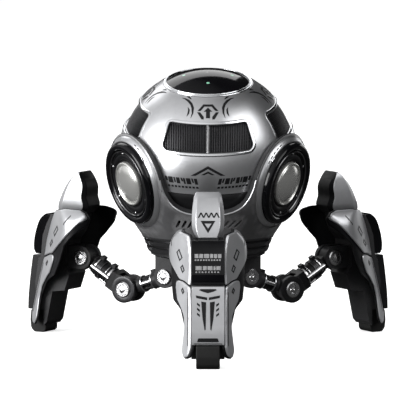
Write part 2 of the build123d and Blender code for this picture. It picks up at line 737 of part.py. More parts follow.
with BuildPart() as main_board:
    # Round board under the touch panel, with its chips.
    with BuildSketch(Plane.XY.offset(33.2)):
        Circle(17.5)
    extrude(amount=1.6)
    with BuildSketch(Plane.XY.offset(34.8)):
        with Locations((-5.0, 3.0)):
            Rectangle(7.0, 7.0)
        with Locations((6.0, -4.0)):
            Rectangle(5.0, 6.0)
    extrude(amount=1.2)

with BuildPart() as usb_port:
    # Charging socket in the back of the upper shell, just above the seam.
    with BuildSketch(Plane(origin=(0, PORT_BACK, 0), x_dir=(-1, 0, 0), z_dir=(0, 1, 0))):
        with Locations((0, PORT_Z)):
            SlotOverall(PORT_WIDTH, PORT_HEIGHT)
            SlotOverall(PORT_WIDTH - 0.8, PORT_HEIGHT - 0.8, mode=Mode.SUBTRACT)
    extrude(amount=5.6)
    with BuildSketch(Plane(origin=(0, PORT_BACK, 0), x_dir=(-1, 0, 0), z_dir=(0, 1, 0))):
        with Locations((0, PORT_Z)):
            SlotOverall(PORT_WIDTH - 0.8, PORT_HEIGHT - 0.8)
    extrude(amount=1.0)
    with BuildSketch(Plane(origin=(0, PORT_BACK + 1.0, 0), x_dir=(-1, 0, 0), z_dir=(0, 1, 0))):
        with Locations((0, PORT_Z)):
            Rectangle(6.0, 0.8)
    extrude(amount=3.4)

BALL_PIECES = {
    "upper_shell": upper_shell.part,
    "lower_shell": lower_shell.part,
    "window_grilles": window_grilles.part,
    "top_ring": top_ring.part,
    "top_panel": top_panel.part,
    "status_leds": status_leds.part,
    "chassis": chassis.part,
    "speaker_frames": behind_windows(speaker_frame.part),
    "speaker_cones": behind_windows(speaker_cone.part),
    "battery": battery.part,
    "main_board": main_board.part,
    "usb_port": usb_port.part,
    "shell_screws": shell_screws.part,
}
for piece_name, piece in BALL_PIECES.items():
    write(piece_name, piece, SEATED_BALL)
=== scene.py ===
"""Looks of the ball speaker on its three-legged armoured stand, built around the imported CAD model.

Lengths are millimetres in the CAD frame until a mesh is written, which turns them into metres.
The front leg points towards -Y. A leg's side view has u outwards from the axis and z above the floor.
"""

from math import cos, hypot, pi, radians, sin, sqrt, tan

import bmesh
import bpy
from mathutils import Matrix, Vector

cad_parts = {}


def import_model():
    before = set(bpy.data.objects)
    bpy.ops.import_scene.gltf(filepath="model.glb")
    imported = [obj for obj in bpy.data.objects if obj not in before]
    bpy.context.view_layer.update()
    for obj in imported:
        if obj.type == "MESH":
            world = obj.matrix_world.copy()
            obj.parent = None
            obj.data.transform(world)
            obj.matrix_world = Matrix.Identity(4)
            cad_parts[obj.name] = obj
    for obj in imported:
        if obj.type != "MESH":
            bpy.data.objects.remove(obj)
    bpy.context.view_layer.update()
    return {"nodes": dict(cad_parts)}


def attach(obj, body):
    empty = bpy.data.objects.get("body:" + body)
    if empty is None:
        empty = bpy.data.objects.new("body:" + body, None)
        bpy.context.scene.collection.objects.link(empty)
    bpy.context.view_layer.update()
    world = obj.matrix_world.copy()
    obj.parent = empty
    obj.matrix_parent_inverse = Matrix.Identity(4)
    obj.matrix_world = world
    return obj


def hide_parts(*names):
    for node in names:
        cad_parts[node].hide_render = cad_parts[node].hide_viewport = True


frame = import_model()

MM = 0.001
FLOOR_Z = -43.5
BALL_R = 45.0
BALL_Z = 50.0
BALL_CENTRE = Vector((0, 0, BALL_Z))
BALL_TILT = 14.0
CRADLE_R = 49.0
LOBE_LATITUDE = -13.7
LOBE_ANGLE = 30.0  # half-angle of a lobe, seen from the ball's centre
LOBE_AZIMUTHS = (60.0, 180.0, -60.0)
LEG_AZIMUTHS = {"front": 0.0, "right": 120.0, "left": -120.0}
WINDOW_AZIMUTHS = (0.0, 90.0, 180.0, 270.0)


# ---- places
def direction(azimuth, latitude):
    """Unit vector: azimuth from the front leg towards +X, latitude above the horizon."""
    a = radians(azimuth)
    b = radians(latitude)
    return Vector((cos(b) * sin(a), -cos(b) * cos(a), sin(b)))


def axes(origin, x_axis, z_axis):
    """Matrix of a frame with its origin, x and z given."""
    z_axis = z_axis.normalized()
    y_axis = z_axis.cross(x_axis).normalized()
    x_axis = y_axis.cross(z_axis)
    matrix = Matrix((x_axis, y_axis, z_axis)).transposed().to_4x4()
    return Matrix.Translation(origin) @ matrix


def turned(azimuth):
    """Turn about the vertical axis, in degrees."""
    return Matrix.Rotation(radians(azimuth), 4, "Z")


BALL = Matrix.Translation(BALL_CENTRE) @ Matrix.Rotation(radians(BALL_TILT), 4, "X")
LEGS = {leg: turned(azimuth) for leg, azimuth in LEG_AZIMUTHS.items()}


def disc_place(azimuth):
    """Frame of a driver disc: origin at the ball's centre, z out through the disc."""
    across = Vector((cos(radians(azimuth)), sin(radians(azimuth)), 0))
    return axes(BALL_CENTRE, across, direction(azimuth, LOBE_LATITUDE))


def side(u, z, x=0.0):
    """Point of the front leg from its side view."""
    return Vector((x, -u, z + FLOOR_Z))


# ---- materials
def node(tree, kind, sockets=(), **settings):
    """Add a shader node, with its settings and then the values of its sockets."""
    made = tree.nodes.new(kind)
    for key, value in settings.items():
        setattr(made, key, value)
    for key, value in dict(sockets).items():
        made.inputs[key].default_value = value
    return made


def ramp_between(tree, factor, low, high, start, end):
    """Colour ramp from low to high between two positions."""
    ramp = node(tree, "ShaderNodeValToRGB")
    for element, position, colour in zip(ramp.color_ramp.elements, (start, end), (low, high)):
        element.position = position
        element.color = (*colour, 1.0)
    tree.links.new(factor, ramp.inputs["Fac"])
    return ramp.outputs["Color"]


def noise(tree, coords, scale, detail, roughness):
    """Noise texture on the object's own coordinates, its scale in features per metre."""
    texture = node(tree, "ShaderNodeTexNoise", {"Scale": scale, "Detail": detail, "Roughness": roughness})
    tree.links.new(coords, texture.inputs["Vector"])
    return texture.outputs["Fac"]


COAT_ROUGHNESS = 0.06
EDGE_HIGHLIGHT_FROM, EDGE_HIGHLIGHT_TO = 0.53, 0.62  # pointiness of an edge where the painted highlight starts, and where it is full
MOTTLE_FROM, MOTTLE_TO = 0.3, 0.72  # part of the broad noise that the colour ramp spans


def painted_edge_highlights(tree, colour, highlight_colour, fine):
    """Painted highlight: brighten a colour on the sharp edges, in patches, standing in for light caught by
    the edges.
    """
    link = tree.links.new
    geometry = node(tree, "ShaderNodeNewGeometry")
    edges = node(tree, "ShaderNodeMapRange", {"From Min": EDGE_HIGHLIGHT_FROM, "From Max": EDGE_HIGHLIGHT_TO})
    link(geometry.outputs["Pointiness"], edges.inputs["Value"])
    patchy = node(tree, "ShaderNodeMath", operation="MULTIPLY")
    link(edges.outputs["Result"], patchy.inputs[0])
    link(fine, patchy.inputs[1])
    mix = node(tree, "ShaderNodeMix", {"B": (*highlight_colour, 1.0)}, data_type="RGBA")
    link(patchy.outputs["Value"], mix.inputs["Factor"])
    link(colour, mix.inputs["A"])
    return mix.outputs["Result"]


def finish(name, low, high, metallic, rough, grain, bump, *, stretch=(1.0, 1.0, 1.0), coat=0.0, edge_highlight=None,
           mottle=60.0, spec=0.5):
    """Procedural finish: mottled colour, uneven roughness, fine bump and, where given, painted highlights
    brightening the sharp edges.

    Grain and mottle are in features per metre, and the bump's height is in millimetres.
    """
    material = bpy.data.materials.new(name)
    material.use_nodes = True
    tree = material.node_tree
    link = tree.links.new
    tree.nodes.clear()
    output = node(tree, "ShaderNodeOutputMaterial")
    shader = node(tree, "ShaderNodeBsdfPrincipled", {"Metallic": metallic, "Coat Weight": coat,
                                                     "Coat Roughness": COAT_ROUGHNESS,
                                                     "Specular IOR Level": spec})
    link(shader.outputs["BSDF"], output.inputs["Surface"])
    coords = node(tree, "ShaderNodeTexCoord")
    mapping = node(tree, "ShaderNodeMapping", {"Scale": stretch})
    link(coords.outputs["Object"], mapping.inputs["Vector"])
    broad = noise(tree, coords.outputs["Object"], mottle, 4.0, 0.6)
    fine = noise(tree, mapping.outputs["Vector"], grain, 2.0, 0.5)
    colour = ramp_between(tree, broad, low, high, MOTTLE_FROM, MOTTLE_TO)
    # painted highlight: sharp edges are brightened in the base colour itself
    if edge_highlight is not None:
        colour = painted_edge_highlights(tree, colour, edge_highlight, fine)
    link(colour, shader.inputs["Base Color"])
    roughness = node(tree, "ShaderNodeMapRange", {"To Min": rough[0], "To Max": rough[1]})
    link(fine, roughness.inputs["Value"])
    link(roughness.outputs["Result"], shader.inputs["Roughness"])
    relief = node(tree, "ShaderNodeBump", {"Strength": 1.0, "Distance": bump * MM})
    link(fine, relief.inputs["Height"])
    link(relief.outputs["Normal"], shader.inputs["Normal"])
    return material


def glow(name, colour, strength):
    """Lens of a status light: tinted, glossy and faintly lit."""
    dim = tuple(0.7 * c for c in colour)
    material = finish(name, dim, colour, 0.0, (0.15, 0.25), 2000.0, 0.005)
    shader = next(n for n in material.node_tree.nodes if n.type == "BSDF_PRINCIPLED")
    shader.inputs["Emission Color"].default_value = (*colour, 1.0)
    shader.inputs["Emission Strength"].default_value = strength
    return material


# The edge_highlight colours below are painted highlights on sharp edges.
SILVER = finish("silver_paint", (0.47, 0.475, 0.49), (0.57, 0.575, 0.59), 0.92, (0.24, 0.38), 2600.0, 0.010,
                edge_highlight=(0.80, 0.81, 0.83), coat=0.2)
ARMOUR = finish("armour_paint", (0.40, 0.405, 0.42), (0.50, 0.505, 0.52), 0.66, (0.28, 0.42), 2600.0, 0.010,
                edge_highlight=(0.80, 0.81, 0.83), coat=0.2)
GUNMETAL = finish("gunmetal_paint", (0.085, 0.085, 0.088), (0.140, 0.140, 0.145), 0.45, (0.24, 0.38), 2200.0,
                  0.012, edge_highlight=(0.42, 0.42, 0.43), coat=0.15)
GRAPHITE = finish("graphite_paint", (0.012, 0.012, 0.013), (0.026, 0.026, 0.028), 0.60, (0.24, 0.38), 2200.0,
                  0.012, edge_highlight=(0.12, 0.12, 0.125), coat=0.15, spec=0.35)
BLACK = finish("black_plastic", (0.003, 0.003, 0.0035), (0.007, 0.007, 0.008), 0.0, (0.34, 0.52), 3200.0,
               0.020, edge_highlight=(0.05, 0.05, 0.052), spec=0.16)
GLOSS = finish("gloss_black", (0.0015, 0.0015, 0.002), (0.004, 0.004, 0.005), 0.0, (0.06, 0.12), 700.0, 0.001,
               coat=0.15, spec=0.15)
CHROME = finish("polished_trim", (0.66, 0.67, 0.69), (0.76, 0.77, 0.79), 1.0, (0.10, 0.18), 1500.0, 0.003)
# Darkened copy of the polished chrome: painted shade for the thin driver trims.
SHADED_CHROME = finish("painted_shade_trim", (0.13, 0.13, 0.135), (0.20, 0.20, 0.205), 1.0, (0.14, 0.24), 1500.0, 0.003)
STEEL = finish("pin_steel", (0.50, 0.50, 0.51), (0.66, 0.66, 0.67), 1.0, (0.16, 0.30), 2600.0, 0.008,
               stretch=(1.0, 1.0, 6.0))
DISC = finish("disc_alloy", (0.60, 0.60, 0.58), (0.76, 0.76, 0.74), 0.78, (0.18, 0.30), 2400.0, 0.006)
MESH = finish("grille_mesh", (0.008, 0.008, 0.009), (0.020, 0.020, 0.022), 0.5, (0.32, 0.48), 2600.0, 0.010,
              spec=0.3)
RUBBER = finish("foot_rubber", (0.004, 0.004, 0.004), (0.010, 0.010, 0.010), 0.0, (0.55, 0.75), 3600.0, 0.030,
                spec=0.25)
PULP = finish("cone_pulp", (0.018, 0.018, 0.018), (0.040, 0.040, 0.038), 0.0, (0.70, 0.85), 1400.0, 0.05)
WRAP = finish("cell_wrap", (0.03, 0.10, 0.22), (0.04, 0.13, 0.27), 0.0, (0.28, 0.36), 500.0, 0.01)
BOARD = finish("board", (0.012, 0.07, 0.03), (0.02, 0.10, 0.045), 0.0, (0.30, 0.40), 1200.0, 0.01)
LENS = glow("led_lens", (0.20, 0.46, 0.32), 0.18)
INK = finish("printed_ink", (0.002, 0.002, 0.0025), (0.005, 0.005, 0.006), 0.0, (0.32, 0.42), 1800.0, 0.004,
             spec=0.3)
PALE_INK = finish("pale_ink", (0.17, 0.17, 0.175), (0.30, 0.30, 0.305), 0.0, (0.38, 0.46), 1800.0, 0.004,
                  mottle=420.0)
PAPER = finish("floor_paper", (0.86, 0.86, 0.86), (0.88, 0.88, 0.88), 0.0, (0.7, 0.8), 300.0, 0.01)


# ---- mesh tools
WELD = 0.002  # vertices closer than this become one


def write_piece(name, bm, material, body, slot, nodes=(), *, sharp=32.0, bevel=0.0, segments=2, more=()):
    """Turn a bmesh in millimetres into a finished piece that rides on a body and replaces CAD nodes."""
    bmesh.ops.remove_doubles(bm, verts=bm.verts, dist=WELD)
    bmesh.ops.recalc_face_normals(bm, faces=bm.faces)
    bmesh.ops.transform(bm, matrix=Matrix.Scale(MM, 4), verts=bm.verts)
    mesh = bpy.data.meshes.new(name)
    bm.to_mesh(mesh)
    bm.free()
    for one in (material, *more):
        mesh.materials.append(one)
    mesh.shade_smooth()
    mesh.set_sharp_from_angle(angle=radians(sharp))
    piece = bpy.data.objects.new(name, mesh)
    bpy.context.scene.collection.objects.link(piece)
    if bevel:
        soften = piece.modifiers.new("edges", "BEVEL")
        soften.width = bevel * MM
        soften.segments = segments
        soften.limit_method = "ANGLE"
        soften.angle_limit = radians(sharp)
        soften.harden_normals = True
    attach(piece, body)
    if nodes:
        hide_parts(*nodes)


def merge(target, source, matrix=None):
    """Add a copy of one bmesh to another, moved by a matrix."""
    mesh = bpy.data.meshes.new("part")
    source.to_mesh(mesh)
    if matrix is not None:
        mesh.transform(matrix)
    target.from_mesh(mesh)
    bpy.data.meshes.remove(mesh)


def joined(parts):
    """One bmesh from a list of (bmesh, matrix) pairs."""
    whole = bmesh.new()
    for part, matrix in parts:
        merge(whole, part, matrix)
    return whole


def rounded(points, radius, steps=4):
    """Outline with each corner turned into an arc, smaller where its sides are short."""
    result = []
    count = len(points)
    for index, corner in enumerate(points):
        here = Vector(corner)
        before = Vector(points[index - 1]) - here
        after = Vector(points[(index + 1) % count]) - here
        reach = min(radius, 0.45 * before.length, 0.45 * after.length)
        start = here + before.normalized() * reach
        end = here + after.normalized() * reach
        for step in range(steps + 1):
            t = step / steps
            result.append(tuple(start * (1 - t) ** 2 + here * 2 * t * (1 - t) + end * t ** 2))
    return result


def lathe(profile, segments=96):
    """Revolve a closed half section (radius, height) about z."""
    bm = bmesh.new()
    rings = []
    for radius, height in profile:
        if radius < 1e-4:
            rings.append([bm.verts.new((0, 0, height))])
            continue
        angles = [2 * pi * k / segments for k in range(segments)]
        rings.append([bm.verts.new((radius * cos(a), radius * sin(a), height)) for a in angles])
    for low, high in zip(rings, rings[1:] + rings[:1]):
        for k in range(segments):
            after = k + 1
            corners = [low[k % len(low)], low[after % len(low)], high[after % len(high)], high[k % len(high)]]
            corners = list(dict.fromkeys(corners))  # a ring of one point gives a triangle
            if len(corners) > 2:
                bm.faces.new(corners)
    return bm


def prism(outline, low, high, matrix=None):
    """Closed prism of a flat outline between two heights."""
    bm = bmesh.new()
    bottom = [bm.verts.new((x, y, low)) for x, y in outline]
    top = [bm.verts.new((x, y, high)) for x, y in outline]
    bm.faces.new(bottom[::-1])
    bm.faces.new(top)
    for k in range(len(outline)):
        after = (k + 1) % len(outline)
        bm.faces.new((bottom[k], bottom[after], top[after], top[k]))
    if matrix is not None:
        bmesh.ops.transform(bm, matrix=matrix, verts=bm.verts)
    return bm


MITER_LIMIT = 1.6  # most that a corner moves, in insets


def inset(outline, distance):
    """Outline moved inwards by a small distance."""
    count = len(outline)
    turn = sum(outline[k - 1][0] * outline[k][1] - outline[k][0] * outline[k - 1][1] for k in range(count))
    sign = 1.0 if turn > 0 else -1.0
    result = []
    for k in range(count):
        before = (Vector(outline[k]) - Vector(outline[k - 1])).normalized()
        after = (Vector(outline[(k + 1) % count]) - Vector(outline[k])).normalized()
        normal = Vector((-before.y - after.y, before.x + after.x)) * sign
        length = normal.length
        if length < 1e-6:
            result.append(tuple(outline[k]))
            continue
        miter = min(2.0 / length, MITER_LIMIT)
        result.append(tuple(Vector(outline[k]) + normal / length * distance * miter))
    return result


def plate(outline, low, high, edge, place, grid=2.0):
    """Closed plate with rounded rims, cut into a grid and bent: place(x, y, height) gives each point."""
    shoulder = 0.3 * edge
    layers = [(edge, low), (0.0, low + edge), (0.0, high - edge), (shoulder, high - shoulder), (edge, high)]
    if edge <= 0:
        layers = [(0.0, low), (0.0, high)]
    bm = bmesh.new()
    rings = []
    for distance, height in layers:
        ring = inset(outline, distance) if distance else outline
        rings.append([bm.verts.new((x, y, height)) for x, y in ring])
    bm.faces.new(rings[0][::-1])
    bm.faces.new(rings[-1])
    count = len(outline)
    for lower, upper in zip(rings, rings[1:]):
        for k in range(count):
            bm.faces.new((lower[k], lower[(k + 1) % count], upper[(k + 1) % count], upper[k]))
    for axis in (0, 1):
        values = [point[axis] for point in outline]
        steps = int((max(values) - min(values)) / grid)
        normal = Vector((1, 0, 0)) if axis == 0 else Vector((0, 1, 0))
        for step in range(1, steps + 1):
            at = min(values) + (max(values) - min(values)) * step / (steps + 1)
            everything = list(bm.verts) + list(bm.edges) + list(bm.faces)
            bmesh.ops.bisect_plane(bm, geom=everything, dist=1e-5, plane_co=normal * at, plane_no=normal)
    for vert in bm.verts:
        vert.co = place(vert.co.x, vert.co.y, vert.co.z)
    return bm


def sweep(path, outward, section, closed=True):
    """Sweep a flat section along a path: section's x is sideways and its y is along the outward normal."""
    bm = bmesh.new()
    rings = []
    count = len(path)
    for k, point in enumerate(path):
        ahead = path[(k + 1) % count] if closed or k < count - 1 else point
        behind = path[k - 1] if closed or k > 0 else point
        tangent = (ahead - behind).normalized()
        sideways = outward[k].cross(tangent).normalized()
        rings.append([bm.verts.new(point + sideways * s + outward[k] * n) for s, n in section])
    turns = count if closed else count - 1
    for k in range(turns):
        here = rings[k]
        there = rings[(k + 1) % count]
        for j in range(len(section)):
            after = (j + 1) % len(section)
            bm.faces.new((here[j], here[after], there[after], there[j]))
    if not closed:
        bm.faces.new(rings[0])
        bm.faces.new(rings[-1][::-1])
    return bm


# ---- CAD nodes that keep their shape
KEPT = {
    "upper_shell": SILVER, "lower_shell": GRAPHITE, "cradle_shell": GUNMETAL, "base_ring": GRAPHITE,
    "base_plate": BLACK, "top_panel": GLOSS, "status_leds": LENS, "main_board": BOARD, "battery": WRAP,
    "speaker_cones": PULP, "shell_screws": STEEL, "base_screws": STEEL, "hip_pins": STEEL, "usb_port": STEEL,
    "chassis": BLACK, "speaker_frames": BLACK, "hip_brackets": BLACK,
}
LEG_KEPT = {
    "inner_link": BLACK, "outer_link": BLACK, "shin_core": BLACK, "inner_rods": STEEL, "outer_rods": STEEL,
    "elbow_pin": STEEL, "shin_pin": STEEL,
}


def dress(name, material):
    """Give a CAD node its finish."""
    piece = frame["nodes"][name]
    for spot in piece.material_slots:
        spot.material = material
    if not piece.material_slots:
        piece.data.materials.append(material)


for name, material in KEPT.items():
    dress(name, material)
for leg in LEGS:
    for name, material in LEG_KEPT.items():
        dress(f"{leg}_{name}", material)


# ---- driver discs
DISCS = [disc_place(azimuth) for azimuth in LOBE_AZIMUTHS]


def on_discs(part):
    """Three copies of a round part, one on each lobe."""
    return joined([(part, place) for place in DISCS])


def arc(centre, across, up, start, end, steps):
    """Points of an elliptical arc between two angles in degrees."""
    turns = [radians(start + (end - start) * k / steps) for k in range(steps + 1)]
    return [(centre[0] + across * cos(t), centre[1] + up * sin(t)) for t in turns]


def block(length, width):
    """Flat outline of a small rectangle with soft corners."""
    x, y = length / 2, width / 2
    return rounded([(-x, -y), (x, -y), (x, y), (-x, y)], 0.15, 2)


def ring_blocks(radius, outline, low, high, angles):
    """Small blocks standing on a circle, at angles in degrees."""
    part = prism(outline, low, high)
    return joined([(part, turned(angle) @ Matrix.Translation((0, radius, 0))) for angle in angles])


# Half sections of a driver disc: distance from its axis, and height along it from the ball's centre.
BEZEL = [(20.95, 41.3), (23.55, 41.3), (23.55, 42.8), (23.0, 43.75), (21.9, 44.85), (21.35, 45.1),
         (20.95, 45.0)]
TYRE = [(17.05, 42.7), (20.85, 42.7)] + arc((18.95, 46.1), 1.9, 1.95, 0, 180, 14)
TRIM = [(16.05, 43.2), (17.0, 43.2), (17.0, 46.95), (16.75, 47.4), (16.35, 47.35), (16.05, 46.9)]
SURROUND = [(15.95, 44.6), (15.95, 46.2), (15.5, 46.2)] + arc((13.7, 45.7), 1.5, 1.05, 0, 180, 12)
SURROUND += [(11.3, 45.6), (11.3, 44.6)]
DOME_SKIRT = [(0, 45.9), (11.15, 45.9), (11.15, 47.0), (10.85, 47.6), (10.45, 47.75), (10.1, 47.5),
              (9.95, 47.0)]
DOME_CROWN = [(9.6, 46.95), (9.4, 47.3), (8.9, 47.6), (7.4, 48.25), (5.4, 48.85), (3.2, 49.25), (1.5, 49.4),
              (0, 49.43)]
SCREW = [(0, 46.0), (0.62, 46.0), (0.62, 46.5), (0.4, 46.66), (0, 46.66)]
SCREW_CIRCLE = 15.27
MARK_CIRCLE = 22.45
MARK_ANGLES = [first + 7.3 * k for first in (-58, 29) for k in range(5)]
TAB_CIRCLE = 21.3
TAB_ANGLES = (-52, 52, 180)
MARK_HEIGHTS = (44.05, 44.42)
TAB_HEIGHTS = (43.9, 45.5)


def drivers():
    """Bezel, gloss ring, dark trim, surround, dome and small fittings on each lobe."""
    write_piece("bezel_bands", on_discs(lathe(rounded(BEZEL, 0.3))), SILVER, "cradle", "disc_alloy",
                ["driver_bezels"])
    write_piece("gloss_rings", on_discs(lathe(TYRE)), GLOSS, "cradle", "gloss_black", ["driver_rings"])
    # the thin trims are polished trim with painted shade: a darkened copy of the chrome
    write_piece("thin_trims", on_discs(lathe(rounded(TRIM, 0.15))), SHADED_CHROME, "cradle", "polished_trim",
                ["driver_trims"])
    write_piece("surrounds", on_discs(lathe(SURROUND)), BLACK, "cradle", "black_plastic", ["driver_cones"])
    write_piece("silver_domes", on_discs(lathe(DOME_SKIRT + DOME_CROWN)), DISC, "cradle", "disc_alloy",
                ["driver_domes"], sharp=50)
    marks = ring_blocks(MARK_CIRCLE, block(1.7, 0.55), *MARK_HEIGHTS, MARK_ANGLES)
    write_piece("bezel_marks", on_discs(marks), INK, "cradle", "black_plastic")
    tabs = ring_blocks(TAB_CIRCLE, block(2.6, 1.5), *TAB_HEIGHTS, TAB_ANGLES)
    write_piece("bezel_tabs", on_discs(tabs), CHROME, "cradle", "polished_trim", bevel=0.2)
    screw = lathe(rounded(SCREW, 0.1), 16)
    spots = [turned(30 + 60 * k) @ Matrix.Translation((SCREW_CIRCLE, 0, 0)) for k in range(6)]
    heads = joined([(screw, spot) for spot in spots])
    write_piece("surround_screws", on_discs(heads), STEEL, "cradle", "pin_steel")


# ---- cradle rim
VALLEY_HALF = [(-29.4, -9.0), (-27.6, -17.0), (-24.0, -24.0), (-18.0, -28.3), (-9.0, -30.6)]
VALLEY_STEPS = 6
VALLEY_RIM = VALLEY_HALF + [(0.0, -31.0)] + [(-a, b) for a, b in reversed(VALLEY_HALF)]
# radius of the silver bead that paints the rim's highlight
RIM_HIGHLIGHT_R = 0.48
GAP_SHADOW_INNER = 45.55  # just outside the bowl; inner side of the black painted gap shadow
GAP_SHADOW_OUTER = 48.75
GAP_SHADOW_FROM = LOBE_ANGLE - 0.2
GAP_SHADOW_TO = LOBE_ANGLE + 0.45
GAP_SHADOW_COUNT = 120
STRIP_IN, STRIP_OUT = -0.2, 0.4  # the painted shadow strip's two sides, from the valley's rim


def valley_directions():
    """Directions along a valley's rim, on a smooth curve through its points."""
    directions = []
    first, last = [VALLEY_RIM[0]], [VALLEY_RIM[-1]]
    for corners in zip(first + VALLEY_RIM, VALLEY_RIM, VALLEY_RIM[1:], VALLEY_RIM[2:] + last):
        for step in range(VALLEY_STEPS):
            t = step / VALLEY_STEPS
            weights = (-t + 2 * t ** 2 - t ** 3, 2 - 5 * t ** 2 + 3 * t ** 3,
                       t + 4 * t ** 2 - 3 * t ** 3, t ** 3 - t ** 2)
            azimuth = sum(weight * corner[0] for weight, corner in zip(weights, corners)) / 2
            latitude = sum(weight * corner[1] for weight, corner in zip(weights, corners)) / 2
            directions.append(direction(azimuth, latitude))
    directions.append(direction(*VALLEY_RIM[-1]))
    return directions


def lobe_gap_shadow(place):
    """Black ribbon round a lobe's edge as painted shadow in the gap to the ball, kept outside the cylinder
    that the ball sweeps as it lifts.
    """
    bm = bmesh.new()
    rings = []
    corners = [(GAP_SHADOW_FROM, True), (GAP_SHADOW_FROM, False), (GAP_SHADOW_TO, False), (GAP_SHADOW_TO, True)]
    for k in range(GAP_SHADOW_COUNT):
        turn = 2 * pi * k / GAP_SHADOW_COUNT
        ring = []
        for angle, inner in corners:
            flat = sin(radians(angle))
            ray = place.to_3x3() @ Vector((flat * cos(turn), flat * sin(turn), cos(radians(angle))))
            reach = GAP_SHADOW_INNER / sqrt(1 - max(ray.z, 0.0) ** 2) if inner else GAP_SHADOW_OUTER
            ring.append(bm.verts.new(BALL_CENTRE + ray * reach))
        rings.append(ring)
    for here, there in zip(rings, rings[1:] + rings[:1]):
        for j in range(4):
            bm.faces.new((here[j], here[(j + 1) % 4], there[(j + 1) % 4], there[j]))
    return bm


def round_section(radius, lift=0.0):
    """Twelve-sided section of a bead or pipe, for a sweep."""
    return [(radius * cos(2 * pi * k / 12), radius * sin(2 * pi * k / 12) + lift) for k in range(12)]


def cradle_rim_painted_light():
    """Silver bead along each valley's outer edge as a painted highlight of the gunmetal rim, and a black
    ribbon round the whole opening as a painted shadow in the gap to the ball.
    """
    outward = valley_directions()
    path = [BALL_CENTRE + normal * CRADLE_R for normal in outward]
    # silver bead on the gunmetal rim: painted highlight
    bead = sweep(path, outward, round_section(RIM_HIGHLIGHT_R, -0.1), closed=False)
    low, high = GAP_SHADOW_INNER - CRADLE_R, GAP_SHADOW_OUTER - CRADLE_R
    corners = [(STRIP_IN, low), (STRIP_OUT, low), (STRIP_OUT, high), (STRIP_IN, high)]
    strip = sweep(path, outward, corners, closed=False)
    rim_highlights = joined([(bead, turn) for turn in LEGS.values()])
    write_piece("cradle_rim_painted_light", rim_highlights, SILVER, "cradle", "gunmetal_paint")
    # black ribbons in the gap between cradle and ball: painted shadow
    gap_shadows = joined([(strip, turn) for turn in LEGS.values()])
    for place in DISCS:
        merge(gap_shadows, lobe_gap_shadow(place))
    write_piece("cradle_gap_shadows", gap_shadows, BLACK, "cradle", "black_plastic")


# ---- windows and grilles
WINDOW_LOW = radians(21.0)  # latitudes of a window's lower and upper sides
WINDOW_HIGH = radians(40.0)
WINDOW_HALF = radians(34.0)  # azimuth of its ends from its middle
LOW_Z = BALL_R * sin(WINDOW_LOW)
HIGH_Z = BALL_R * sin(WINDOW_HIGH)
LOW_X = BALL_R * cos(WINDOW_LOW) * sin(WINDOW_HALF)
HIGH_X = BALL_R * cos(WINDOW_HIGH) * sin(WINDOW_HALF)
WINDOW = [(-LOW_X, LOW_Z), (LOW_X, LOW_Z), (HIGH_X, HIGH_Z), (-HIGH_X, HIGH_Z)]
WINDOW_CORNER = 2.6
LIP_SECTION = [(0.02, -1.9), (0.30, -1.2), (0.30, -0.10), (-0.02, 0.17), (-0.70, 0.24), (-1.25, 0.12),
               (-1.42, -0.05), (-0.6, -0.3), (-0.1, -1.2)]
GRILLE_BACK_R = 42.7  # distances from the ball's centre
ROW_R = 43.5
RIB_R = 43.75
BAR_R = 44.05
RIB_PITCH = 1.16
ROWS = 9


def on_ball(x, z, radius):
    """Point of the ball's front at a distance from its centre, from its front view."""
    return Vector((x, -sqrt(radius ** 2 - x ** 2 - z ** 2), z))


def fillet_arcs(points, radius, steps):
    """Outline with true tangent arcs of one radius at its corners."""
    result = []
    for k, corner in enumerate(points):
        here = Vector(corner)
        before = (Vector(points[k - 1]) - here).normalized()
        after = (Vector(points[(k + 1) % len(points)]) - here).normalized()
        half = before.angle(after) / 2
        centre = here + (before + after).normalized() * radius / sin(half)
        start = here + before * radius / tan(half) - centre
        end = here + after * radius / tan(half) - centre
        for step in range(steps + 1):
            result.append(tuple(centre + start.lerp(end, step / steps).normalized() * radius))
    return result


def densify(points, spacing):
    """Outline with extra points so that no side is longer than the spacing."""
    result = []
    for k, point in enumerate(points):
        after = points[(k + 1) % len(points)]
        length = hypot(after[0] - point[0], after[1] - point[1])
        parts = max(1, int(length / spacing))
        for j in range(parts):
            t = j / parts
            result.append((point[0] + (after[0] - point[0]) * t, point[1] + (after[1] - point[1]) * t))
    return result


def window_half_width(z):
    """Half the width of a window at a height."""
    t = (z - LOW_Z) / (HIGH_Z - LOW_Z)
    return LOW_X + (HIGH_X - LOW_X) * t


def rib(start, end, radius, half_width, depth):
    """Bar of a grille between two places of the front view, bowed with the ball."""
    steps = 10
    path = []
    outward = []
    for k in range(steps + 1):
        x = start[0] + (end[0] - start[0]) * k / steps
        z = start[1] + (end[1] - start[1]) * k / steps
        point = on_ball(x, z, radius)
        path.append(point)
        outward.append(point.normalized())
    crest = 0.6 * half_width
    section = [(-half_width, -depth), (half_width, -depth), (half_width, -0.12), (crest, 0.0), (-crest, 0.0),
               (-half_width, -0.12)]
    return sweep(path, outward, section, closed=False)


def rib_top(x):
    """Height at which an upright rib ends: under the window's top side, or at its slanted end."""
    top = HIGH_Z - 0.2
    if abs(x) > HIGH_X - 0.9:
        slope = 0.92 * (HIGH_Z - LOW_Z) / (LOW_X - HIGH_X)
        top = min(top, HIGH_Z - (abs(x) - HIGH_X + 1.3) * slope)
    return top


